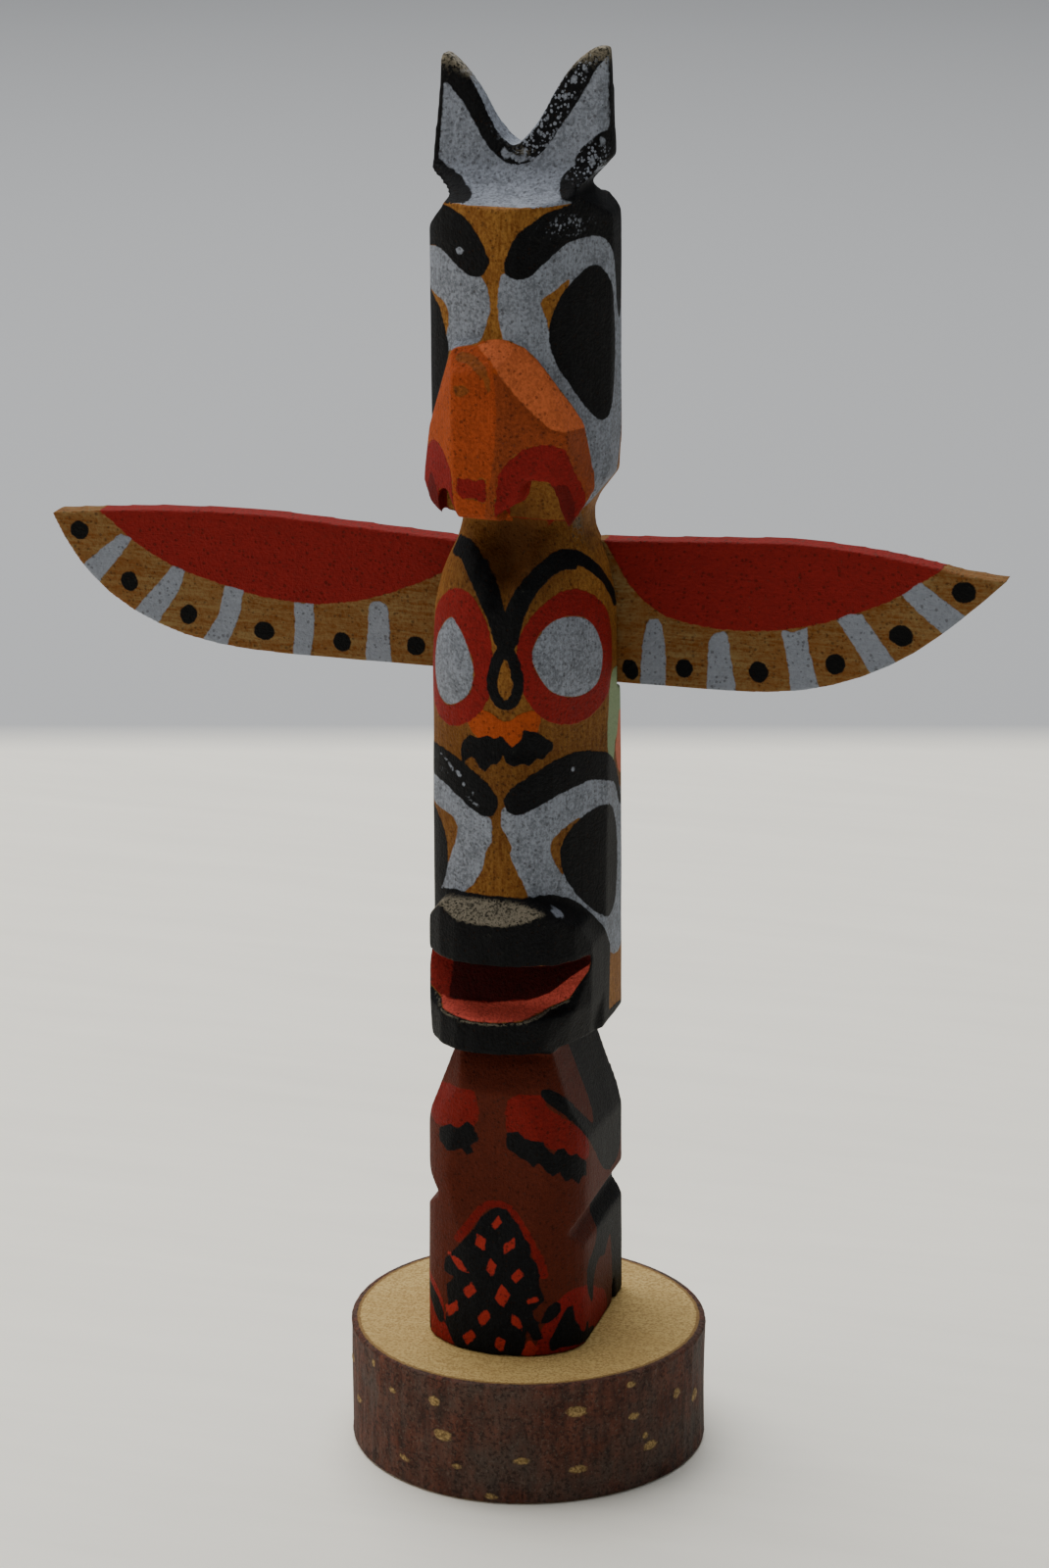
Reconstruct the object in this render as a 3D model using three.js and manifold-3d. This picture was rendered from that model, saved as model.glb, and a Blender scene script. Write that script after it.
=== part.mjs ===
// A small souvenir totem pole: a carved and painted stick with a wing board let into its back,
// standing on a slice of branch.  Millimetres, +Z up, the pole faces -Y, and the origin is in the
// middle of the slice's underside.
import * as THREE from 'three';
import { ConvexGeometry } from 'three/addons/geometries/ConvexGeometry.js';
import { mergeVertices } from 'three/addons/utils/BufferGeometryUtils.js';
import Module from 'manifold-3d';

const wasm = await Module();
wasm.setup();

// ---- driving dimensions -------------------------------------------------------------------------

const BASE_RADIUS = 22.5;
const BASE_HEIGHT = 16.2;
const BASE_OVAL = 0.45;
const BASE_EASE = 0.5;
const BASE_SIDES = 56;

// The carving's heights are measured on the stick by itself.  It is then drawn out a touch and
// stood on the slice, a little behind and to the left of where it was measured.
const DRAWN_OUT = 1.0038;
const STANDS_AT = [-0.57, 1.9];

const FOOT = 17.1;               // underside of the pole
const CHIN = 56.8;               // underside of the thick-lipped mouth
const BROW = 94;                 // top of the heavy-browed face
const CROWN = 160.9;             // top edge of the bird's forehead
const EAR_TIP = 178.8;

const HALF_AT_FOOT = 10.35;      // the stick tapers a little: its half width and its back
const HALF_AT_CROWN = 10.75;
const BACK_AT_FOOT = 10;
const BACK_AT_CROWN = 4.6;
const BACK_EASE = 0.9;           // knocked-off back corners
const FRONT_STEPS = 16;          // facets round the front of a section
const CREASED_CURVE = 2.3;       // how square the front is on its way to the right-hand crease

const WING_FRONT = 5;            // the board's front face
const WING_THICK = 3.2;
const WING_GAP = 0.3;            // clearance of the board in its housing
const WING_LEFT = -64.4;
const WING_RIGHT = 58.1;
const WING_TIP_Z = 116.3;
const WING_LEFT_TOP = 117.7;
const WING_RIGHT_TOP = 119.1;
const WING_ROOT = 116.6;
const WING_BOTTOM = 99.8;

const SLIVER = 0.02;             // edges shorter than this are closed up

const WOOD = 0xb98a4a;
const BARK = 0x5a4338;

// ---- tools --------------------------------------------------------------------------------------

function solid(geometry) {
  const bare = new THREE.BufferGeometry();
  bare.setAttribute('position', geometry.getAttribute('position'));
  if (geometry.index) bare.setIndex(geometry.index);
  const merged = mergeVertices(bare, 1e-4);
  return new wasm.Manifold(new wasm.Mesh({
    numProp: 3,
    vertProperties: new Float32Array(merged.getAttribute('position').array),
    triVerts: new Uint32Array(merged.index.array),
  }));
}

function geometryOf(body) {
  const mesh = body.getMesh();
  const geometry = new THREE.BufferGeometry();
  geometry.setAttribute('position', new THREE.BufferAttribute(mesh.vertProperties, 3));
  geometry.setIndex(new THREE.BufferAttribute(mesh.triVerts, 1));
  geometry.computeVertexNormals();
  return geometry;
}

function named(name, body, colour, roughness) {
  const material = new THREE.MeshStandardMaterial({ color: colour, roughness, metalness: 0 });
  material.flatShading = true;
  const mesh = new THREE.Mesh(geometryOf(body), material);
  mesh.name = name;
  return mesh;
}

const shapeOf = (points) => new THREE.Shape(points.map(([u, v]) => new THREE.Vector2(u, v)));

// A saw cut straight through: an outline seen along one axis, extruded along it.
function cut(axis, outline, from, to, curveSegments = 8) {
  const shape = Array.isArray(outline) ? shapeOf(outline) : outline;
  const geometry = new THREE.ExtrudeGeometry(shape, {
    depth: to - from,
    bevelEnabled: false,
    curveSegments,
  });
  if (axis === 'z') {
    geometry.translate(0, 0, from);
  } else if (axis === 'y') {
    geometry.rotateX(Math.PI / 2).translate(0, to, 0);
  } else {
    geometry.rotateX(Math.PI / 2).rotateZ(Math.PI / 2).translate(from, 0, 0);
  }
  return solid(geometry);
}

const facets = (...points) => solid(new ConvexGeometry(points.map((p) => new THREE.Vector3(...p))));

// A flat facet: all that lies beyond the plane through a point, facing along a normal.
function beyond(point, normal) {
  const size = 80;
  const block = new THREE.BoxGeometry(size, size, size).translate(0, 0, size / 2);
  const turn = new THREE.Quaternion().setFromUnitVectors(
    new THREE.Vector3(0, 0, 1),
    new THREE.Vector3(...normal).normalize(),
  );
  block.applyQuaternion(turn).translate(...point);
  return solid(block);
}

// A cylinder's rings moved onto sections, given from the bottom up as { z, ring }.
function loft(sections) {
  const rows = sections.length - 1;
  const columns = sections[0].ring.length;
  const geometry = new THREE.CylinderGeometry(1, 1, 1, columns, rows);
  const position = geometry.getAttribute('position');
  for (let i = 0; i < position.count; i++) {
    const x = position.getX(i);
    const z = position.getZ(i);
    const section = sections[Math.round((position.getY(i) + 0.5) * rows)];
    const turn = Math.atan2(x, z) / (2 * Math.PI);
    const column = (Math.round(turn * columns) + columns) % columns;
    const middle = section.ring.reduce((sum, p) => sum + p[1], 0) / columns;
    const [px, py] = Math.hypot(x, z) > 0.5 ? section.ring[column] : [0, middle];
    position.setXYZ(i, px, py, section.z);
  }
  return solid(geometry);
}

const mix = (a, b, t) => a + (b - a) * t;
const step = (a, b, t) => THREE.MathUtils.smoothstep(t, a, b);
const up = (z) => (z - FOOT) / (CROWN - FOOT);
const backAt = (z) => mix(BACK_AT_FOOT, BACK_AT_CROWN, up(z));

// A value that changes with height, through given heights: straight in between.
function along(table) {
  return (z) => {
    const next = table.findIndex(([level]) => level >= z);
    if (next === -1) return table[table.length - 1][1];
    if (next === 0) return table[0][1];
    const [z0, a] = table[next - 1];
    const [z1, b] = table[next];
    return mix(a, b, (z - z0) / (z1 - z0));
  };
}

// The stick's section, anticlockwise from above: flat back and sides, rounded front.  The front
// runs smoothly into the left side at the shoulder, and meets the right side at a crease.
function section(z, { half, shoulder, crease = shoulder, front, relief = () => 0 }) {
  const back = backAt(z);
  const ring = [
    [half - BACK_EASE, back],
    [-half + BACK_EASE, back],
    [-half, back - BACK_EASE],
  ];
  for (let i = 0; i <= FRONT_STEPS; i++) {
    const turn = (Math.PI * i) / FRONT_STEPS;
    const x = -half * Math.cos(turn);
    const round = Math.sin(turn);
    const y = x > 0 && crease > shoulder
      ? mix(crease, front, 1 - Math.abs(Math.cos(turn)) ** CREASED_CURVE)
      : mix(shoulder, front, round);
    ring.push([x, y + relief(x, z)]);
  }
  ring.push([half, back - BACK_EASE]);
  return { z, ring };
}

// ---- the beaver at the foot ---------------------------------------------------------------------

function beaver() {
  const top = CHIN + 1;
  const stick = loft([
    section(FOOT, { half: HALF_AT_FOOT, shoulder: -8, front: -15.3 }),
    section(top, { half: HALF_AT_FOOT + 0.1, shoulder: -6.8, front: -14.4 }),
  ]);

  const brow = 51.8;
  const chin = 39.6;
  const profile = [
    [-15.5, FOOT],
    [-15.3, 22],
    [-14.6, 31],
    [-13.7, chin - 3],
    [-13.1, chin],
    [-13.4, 44],
    [-14.2, brow],
    [-9.2, top],
    [12, top],
    [12, FOOT],
  ];
  let body = stick.intersect(cut('x', profile, -14, 14));

  // The temples slope in from the cheeks to the crown, with a smaller facet beside the brow.
  for (const side of [-1, 1]) {
    const browCorner = side > 0 ? 5.5 : 4.4;
    body = body
      .subtract(beyond([6.95 * side, 6, 53.4], [0.942 * side, 0.03, 0.334]))
      .subtract(beyond([browCorner * side, -14, 52.3], [0.745 * side, -0.577, 0.336]));
  }

  // A V cut on each side parts the cheeks from the arms; the left one is cut a little higher.
  const groove = (side, deep, z) => {
    const outline = [[deep, z], [12.5, z - 4.8], [12.5, z + 5.6]];
    return cut('y', outline.map(([x, y]) => [x * side, y]), -18, 14);
  };
  body = body.subtract(groove(1, 8.6, 32.9)).subtract(groove(-1, 7.9, 36.6));

  // A hollow on each side leaves the belly between the legs, and a slit parts leg and back.
  for (const side of [-1, 1]) {
    const hollow = new THREE.SphereGeometry(1, 16, 12);
    hollow.scale(2.6, 2.6, 7).translate(9.9 * side, -14.2, 27.5);
    body = body.subtract(solid(hollow));
    const slit = 4.9;
    body = body.subtract(facets(
      [12 * side, slit - 1.9, FOOT - 1], [12 * side, slit + 1.7, FOOT - 1], [12 * side, slit, 22.5],
      [8.6 * side, slit, FOOT - 1], [9.4 * side, slit, 21],
    ));
  }
  return body;
}

// ---- the heavy-browed face and its mouth --------------------------------------------------------

function browedFace() {
  const head = loft([
    section(CHIN, { half: 10.45, shoulder: -4.6, crease: -1.2, front: -11.6 }),
    section(76, { half: 10.5, shoulder: -4.4, crease: -0.6, front: -11.5 }),
    section(BROW - 3, { half: 10.5, shoulder: -4.4, crease: 0, front: -12 }),
    section(BROW, { half: 10.45, shoulder: -4.4, crease: 0, front: -11.8 }),
  ]);

  // The jaws stand out in front of the face as one block with a flat front and cut corners.
  const jawFront = -14.2;
  const wide = [
    [10.45, 4], [-10.45, 4], [-10.45, -7.2], [-9.5, -10.2], [-7.4, -12.7], [-4.9, -14],
    [-2, jawFront], [1, jawFront], [4, -13.6], [7, -12.2], [9.1, -9.9], [10.4, -6.5],
  ];
  const narrow = [
    [9.7, 4], [-10.3, 4], [-10.3, -7.2], [-9.3, -9.8], [-7.4, -12.3], [-4.9, -14],
    [-2.4, -14.5], [0.6, jawFront], [3.2, -13.5], [5.4, -12.2], [7.6, -8.6], [9.5, -4],
  ];
  const lipTop = 76.7;
  const arch = [
    [-11, CHIN], [11, CHIN], [11, 67.5], [10.5, 69.2], [9.4, 72.6], [7, 74.9], [4.6, 76.2],
    [1, lipTop], [-4, lipTop], [-7.4, 75.6], [-9.4, 73.2], [-11, 70],
  ];
  const shelf = [
    [jawFront - 1, CHIN], [6, CHIN], [6, lipTop + 0.2], [-11.2, lipTop + 0.2],
    [jawFront - 1, 72.6],
  ];
  const mouthTop = 68.4;
  const mouth = [
    [jawFront - 3, mouthTop], [jawFront - 3, 60.5], [jawFront, 61.3], [-9.9, 62.3],
    [-6.2, mouthTop],
  ];
  const jaws = loft([
    { z: CHIN, ring: narrow }, { z: 62, ring: wide }, { z: lipTop + 1, ring: wide },
  ]);
  return jaws
    .intersect(cut('y', arch, -18, 8))
    .intersect(cut('x', shelf, -12, 12))
    .add(head)
    .subtract(cut('x', mouth, -12, 12));
}

// ---- the round-eyed face and the neck -----------------------------------------------------------

// How far a point lies above the lobes that carry the eyes: their tops curve down to a V between.
const aboveLobes = (x, z) => z - 120.6 + 9.6 * Math.exp(-Math.abs(x - 0.2) / 2.5);

function roundEyedFace() {
  const bottom = BROW - 2;
  const top = 129;
  const half = along([
    [bottom, 10.45], [104, 10.4], [111, 10.2], [115, 9.4], [117.5, 8.5], [119.3, 7.6],
    [121.3, 7.2], [122.6, 7.4], [124, 8.2], [top, 10],
  ]);
  const shoulder = along([[bottom, -4.4], [115, -4], [121, -2.6], [top, -2.8]]);
  const crease = along([[bottom, 0], [113, 0.2], [117.5, -1], [122, -1.6], [top, -0.6]]);
  const front = along([
    [bottom, -11.5], [97, -11.6], [104, -12.2], [113, -12], [117, -11.3], [120, -10.4],
    [122, -10.3], [top, -12],
  ]);
  const relief = (x, z) => {
    const scoop = 2.4 * step(-0.3, 4, aboveLobes(x, z));
    const valley = 1.5 * Math.exp(-(((x - 0.1) / 2.3) ** 2)) * step(96, 101, z) * step(116, 109, z);
    const bulge = (cx) => Math.exp(-(((x - cx) / 3.6) ** 2) - (((z - 106) / 6) ** 2));
    return scoop + valley - 0.7 * (bulge(-6.6) + bulge(6.6));
  };
  const sections = [];
  const rows = 27;
  for (let i = 0; i <= rows; i++) {
    const z = mix(bottom, top, i / rows);
    sections.push(section(z, {
      half: half(z),
      shoulder: shoulder(z),
      crease: crease(z),
      front: front(z),
      relief,
    }));
  }
  return loft(sections);
}

// ---- the bird's head and ears -------------------------------------------------------------------

function skull() {
  return loft([
    section(123.6, { half: 7.9, shoulder: -3, crease: -0.6, front: -8 }),
    section(127, { half: 10.4, shoulder: -3.3, crease: -0.3, front: -9.4 }),
    section(132, { half: 10.65, shoulder: -3.5, crease: -0.2, front: -11.2 }),
    section(145, { half: 10.7, shoulder: -3.5, crease: -0.2, front: -11.7 }),
    section(CROWN, { half: HALF_AT_CROWN, shoulder: -3.5, crease: -0.2, front: -11.9 }),
  ]);
}

// The beak has a flat ridge, a little to the left.  On its right one facet faces up, one faces down
// and a narrow one faces out.  Under the hooked tip the mouth is arched, and the throat slopes back.
function beak() {
  const ridge = -14.9;
  const block = facets(
    [-5.6, -12.3, 144.4], [-0.9, -12.3, 145], [-5, ridge + 0.4, 141.4], [0.3, ridge + 0.6, 142.3],
    [-4.9, ridge, 135], [0.5, ridge, 137], [0.3, ridge, 131.2],
    [-4.6, ridge + 0.1, 124.6], [0, ridge + 0.4, 124.8],
    [3.6, -13.9, 136.9], [5.6, -13.1, 135.3], [8.2, -11.7, 134.5],
    [2.5, -11.4, 144.9], [5.2, -10.5, 142.5], [7.2, -9.3, 139.1], [9.7, -7, 135],
    [10.4, -5.6, 127.2], [10, -7.4, 126], [8.3, -9.8, 122.9],
    [-5.9, -11, 144.6], [-9.6, -8.6, 134], [-10.6, -5.4, 133], [-10.7, -7.6, 127],
    [-9.3, -9.6, 125], [-7.2, -10.4, 123.4],
    [-7, -4, 123.6], [7, -4, 123.6],
  );
  const throat = cut('x', [[-20, 120], [-7.6, 120], [-7.8, 122], [-10.8, 130], [-20, 130]], -12, 12);
  const right = [
    [0.2, 121], [0.3, 125], [2.3, 125.9], [3.1, 127.1], [3.4, 129], [6.2, 128.7], [6.8, 127],
    [7.3, 124.6], [8, 122.6],
  ];
  const left = [[-4.2, 121], [-4.5, 125], [-5.9, 127.4], [-7.4, 127], [-7.7, 121]];
  return block
    .subtract(cut('y', right, -20, 0).intersect(throat))
    .subtract(cut('y', left, -20, 0).intersect(throat));
}

// Seen from the side the ears are a thin plate that sweeps forward onto the forehead.
function ears() {
  const low = CROWN - 5;
  const profile = new THREE.Shape();
  profile.moveTo(-12.2, low);
  profile.lineTo(-11.7, CROWN);
  profile.quadraticCurveTo(-5.4, CROWN + 0.4, -3.4, 164.6);
  profile.lineTo(-1.9, 173);
  profile.lineTo(-1.5, EAR_TIP + 1);
  profile.lineTo(0.2, EAR_TIP + 1);
  profile.lineTo(1.3, 166);
  profile.quadraticCurveTo(1.8, 161, backAt(158.5), 158.5);
  profile.lineTo(backAt(low), low);
  const stick = loft([
    section(low, { half: HALF_AT_CROWN, shoulder: -3.5, crease: -0.2, front: -11.9 }),
    section(EAR_TIP + 1, { half: HALF_AT_CROWN + 0.1, shoulder: -3.5, crease: -0.2, front: -11.9 }),
  ]);
  return cut('x', profile, -13, 13, 8).intersect(stick);
}

// From the front: pointed left ear, blunt right one, a V between, and a nick under each.
function headOutline() {
  const outline = new THREE.Shape();
  outline.moveTo(-12, 121);
  outline.lineTo(-12, 156.6);
  outline.lineTo(-10.4, 157.4);
  outline.lineTo(-7.9, 160.2);
  outline.lineTo(-7.2, 161.3);
  outline.lineTo(-10.75, 163.7);
  outline.lineTo(-10.15, 176.6);
  outline.quadraticCurveTo(-9.9, 177.5, -9.2, 177);
  outline.quadraticCurveTo(-6.4, 175, -4.3, 170.8);
  outline.quadraticCurveTo(-2.6, 167.5, -0.8, 166.7);
  outline.quadraticCurveTo(1, 167.6, 3, 171.4);
  outline.quadraticCurveTo(5.2, 176.2, 7.9, 177.9);
  outline.quadraticCurveTo(9.2, EAR_TIP + 0.1, 10.4, 178.4);
  outline.lineTo(10.85, 165.7);
  outline.lineTo(7.5, 162.2);
  outline.lineTo(10.6, 159);
  outline.lineTo(10.9, 156.8);
  outline.lineTo(12, 156);
  outline.lineTo(12, 121);
  return cut('y', outline, -16, 9, 6);
}

// ---- the wing board -----------------------------------------------------------------------------

function wingOutline(grow) {
  const low = WING_BOTTOM - grow;
  const outline = new THREE.Shape();
  outline.moveTo(-32, low + 0.2);
  outline.lineTo(12, low);
  outline.lineTo(24, low + 0.1);
  outline.bezierCurveTo(41, low, 49.1, low + 7.4, WING_RIGHT, WING_TIP_Z);
  outline.lineTo(52.5, WING_TIP_Z + 0.5);
  outline.quadraticCurveTo(42, WING_RIGHT_TOP - 0.1, 31, WING_RIGHT_TOP);
  outline.lineTo(7, WING_ROOT + 1.1 + grow);
  outline.lineTo(-9, WING_ROOT - 0.2 + grow);
  outline.lineTo(-32, WING_LEFT_TOP);
  outline.quadraticCurveTo(-46, WING_LEFT_TOP + 0.6, WING_LEFT, WING_TIP_Z - 0.1);
  outline.bezierCurveTo(-60, low + 6.2, -51, low - 0.2, -32, low + 0.2);
  return outline;
}

const board = (grow, front, back) => cut('y', wingOutline(grow), front, back, 10);

// ---- the slice of branch ------------------------------------------------------------------------

function slice() {
  const radius = (turn) =>
    BASE_RADIUS + BASE_OVAL * Math.cos(2 * turn - 0.3) + 0.22 * Math.sin(3 * turn + 1.1)
    - 0.3 * Math.exp(-(((turn - 4.1) / 0.5) ** 2));
  const ring = (inset) => {
    const points = [];
    for (let i = 0; i < BASE_SIDES; i++) {
      const turn = (2 * Math.PI * i) / BASE_SIDES;
      const r = radius(turn) - inset;
      points.push([r * Math.cos(turn), r * Math.sin(turn)]);
    }
    return points;
  };
  return loft([
    { z: 0, ring: ring(BASE_EASE) },
    { z: BASE_EASE, ring: ring(0) },
    { z: BASE_HEIGHT - BASE_EASE, ring: ring(0) },
    { z: BASE_HEIGHT, ring: ring(BASE_EASE * 0.6) },
  ]);
}

// ---- the whole ----------------------------------------------------------------------------------

const housing = board(WING_GAP, WING_FRONT - WING_GAP, WING_FRONT + 2 * WING_THICK);
const pole = beaver()
  .add(browedFace())
  .add(roundEyedFace())
  .add(skull().add(beak()).add(ears()).intersect(headOutline()))
  .subtract(housing)
  .simplify(SLIVER);

const stood = (carving) => carving
  .scale([1, 1, DRAWN_OUT])
  .translate([...STANDS_AT, BASE_HEIGHT - FOOT * DRAWN_OUT]);
const wings = board(0, WING_FRONT, WING_FRONT + WING_THICK);

const totem = new THREE.Group();
totem.add(named('pole', stood(pole), WOOD, 0.75));
totem.add(named('wings', stood(wings), WOOD, 0.75));
totem.add(named('base', slice(), BARK, 0.9));

export default totem;
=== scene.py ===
"""A small souvenir totem pole: carved softwood, brush-painted, on a slice of branch."""
import math
import random

import bmesh
import bpy
import numpy as np
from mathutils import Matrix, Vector, noise


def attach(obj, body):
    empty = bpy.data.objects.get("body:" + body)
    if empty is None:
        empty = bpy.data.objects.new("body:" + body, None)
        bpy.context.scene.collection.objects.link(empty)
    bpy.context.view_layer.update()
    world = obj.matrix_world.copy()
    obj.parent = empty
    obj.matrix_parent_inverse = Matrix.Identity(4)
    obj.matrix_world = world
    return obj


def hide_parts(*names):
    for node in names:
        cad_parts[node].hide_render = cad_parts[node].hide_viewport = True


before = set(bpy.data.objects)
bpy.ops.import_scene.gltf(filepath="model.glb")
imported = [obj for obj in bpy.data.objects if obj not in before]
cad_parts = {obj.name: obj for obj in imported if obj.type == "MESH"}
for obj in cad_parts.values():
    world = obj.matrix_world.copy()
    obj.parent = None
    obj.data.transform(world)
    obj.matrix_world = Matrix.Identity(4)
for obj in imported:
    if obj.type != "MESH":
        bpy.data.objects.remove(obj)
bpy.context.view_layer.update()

bl_info = {
    "name": "Souvenir totem pole",
    "version": (1, 0, 0),
    "blender": (4, 5, 0),
    "location": "View3D > Sidebar > Totem",
    "description": "Dresses the carved solids of a small painted totem pole",
    "category": "Object",
}

MM = 0.001

# The brush shapes lie on the pole unrolled: u is the distance round a cylinder of this radius and
# middle, from the centre of the front towards the right-hand wing, and the second number is the
# height. On the thin ears and the wing board u is simply the distance from the middle.
WRAP_RADIUS = 10.6
WRAP_MIDDLE = -0.5
EARS_FROM = 160.9

# The brush shapes were measured on the stick by itself, before it was stood on its slice.
STANDS_AT = (-0.57, 1.9, -0.965)
DRAWN_OUT = 1.0038

# Depths inside a brush shape are only followed this far, in millimetres.
FAR = 2.0

# Heights on the stick, in millimetres.
JAW_UNDERSIDE = 56.4
BEAVER_TOP = 57.4
MOUTH_ROOF = 68.4
LIPS_TOP = 76.6
ARCH_FOOT, ARCH_TOP = 121, 130
EAR_NOTCH = 164

EAR_EDGE = 9.6       # half width of the front of the ears, inside their knocked-off edges
BARK_WRAP = 22.5     # the bark's pores lie round a cylinder of this radius
RIM_RADIUS = 22.0    # the sawn face's own radius, and how much of it is bark
BARK_THICK = 0.55

# Where the camera stands, in metres, and how far it is tipped up and turned, in degrees.
CAMERA_PLACE = (0.14174, -0.47949, 0.2475)
CAMERA_TIP, CAMERA_TURN = 72.25, 16.5
LIGHTS_AIM = (0, 0, 0.09)
GREY_FROM, GREY_BY = 0.294, 0.312    # how far behind the pole the floor turns grey


# ---- colours and sizes a user may change --------------------------------------------------------

def linear(hexed):
    """An sRGB hex colour as linear red, green and blue."""
    channels = (int(hexed[i:i + 2], 16) / 255 for i in (1, 3, 5))
    return tuple(c / 12.92 if c <= 0.04045 else ((c + 0.055) / 1.055) ** 2.4 for c in channels)


def colour(name, description, hexed):
    """A colour setting."""
    return bpy.props.FloatVectorProperty(
        name=name, description=description, subtype="COLOR", size=3, min=0, max=1,
        default=linear(hexed),
    )


class TotemPaints(bpy.types.PropertyGroup):
    """The paints, and the bare wood under them."""
    wood: colour("Bare wood", "Yellow softwood between the grain lines", "#966a31")
    board: colour("Bare board", "Paler, duller softwood of the wings", "#7d663f")
    grain: colour("Grain", "Darker grain lines of the softwood", "#663b13")
    pale: colour("Pale paint", "Grey-blue paint of the ears, bands and eyes", "#8b919c")
    black: colour("Black paint", "Brows, eyes and lips", "#060607")
    red: colour("Red paint", "Eye rings and wings", "#821b16")
    orange: colour("Orange paint", "Beak", "#a24618")
    brown: colour("Brown paint", "Beaver", "#531f0f")
    green: colour("Green paint", "Side strip of the middle face", "#7c8d69")


class TotemCarving(bpy.types.PropertyGroup):
    """How the knife left the wood."""
    voxel: bpy.props.FloatProperty(
        name="Detail", description="Spacing of the carved surface's points",
        default=0.37 * MM, min=0.2 * MM, max=2 * MM, unit="LENGTH", precision=5)
    softening: bpy.props.IntProperty(
        name="Softening", description="How far handling has rounded the knife edges",
        default=2, min=0, max=20)
    waviness: bpy.props.FloatProperty(
        name="Waviness", description="Depth of the unevenness left by the knife",
        default=0.1 * MM, min=0, max=1 * MM, unit="LENGTH", precision=5)


class TotemStage(bpy.types.PropertyGroup):
    """Floor, lights and camera."""
    floor: colour("Floor", "Pale table top", "#f4f1e6")
    wall: colour("Far floor", "Greyer far part of the floor", "#a5a7aa")
    key: bpy.props.FloatProperty(
        name="Overhead light", description="Power of the large soft light above",
        default=39.0, min=0, unit="POWER")
    fill: bpy.props.FloatProperty(
        name="Front light", description="Power of the soft light in front",
        default=1.4, min=0, unit="POWER")
    side: bpy.props.FloatProperty(
        name="Side light", description="Power of the soft warm light at the left",
        default=3.5, min=0, unit="POWER")
    sky: bpy.props.FloatProperty(
        name="Surroundings", description="Brightness of the room", default=0.18, min=0)
    lens: bpy.props.FloatProperty(
        name="Lens", description="Focal length for a sensor 36 mm on its long side",
        default=97.8, min=1)


# ---- brush shapes -------------------------------------------------------------------------------
# Each is ("patch", points), a closed smooth outline; ("cut", points), a closed outline with
# corners; ("stroke", width, points); or ("blob", centre, half sizes, turn in degrees).

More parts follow.
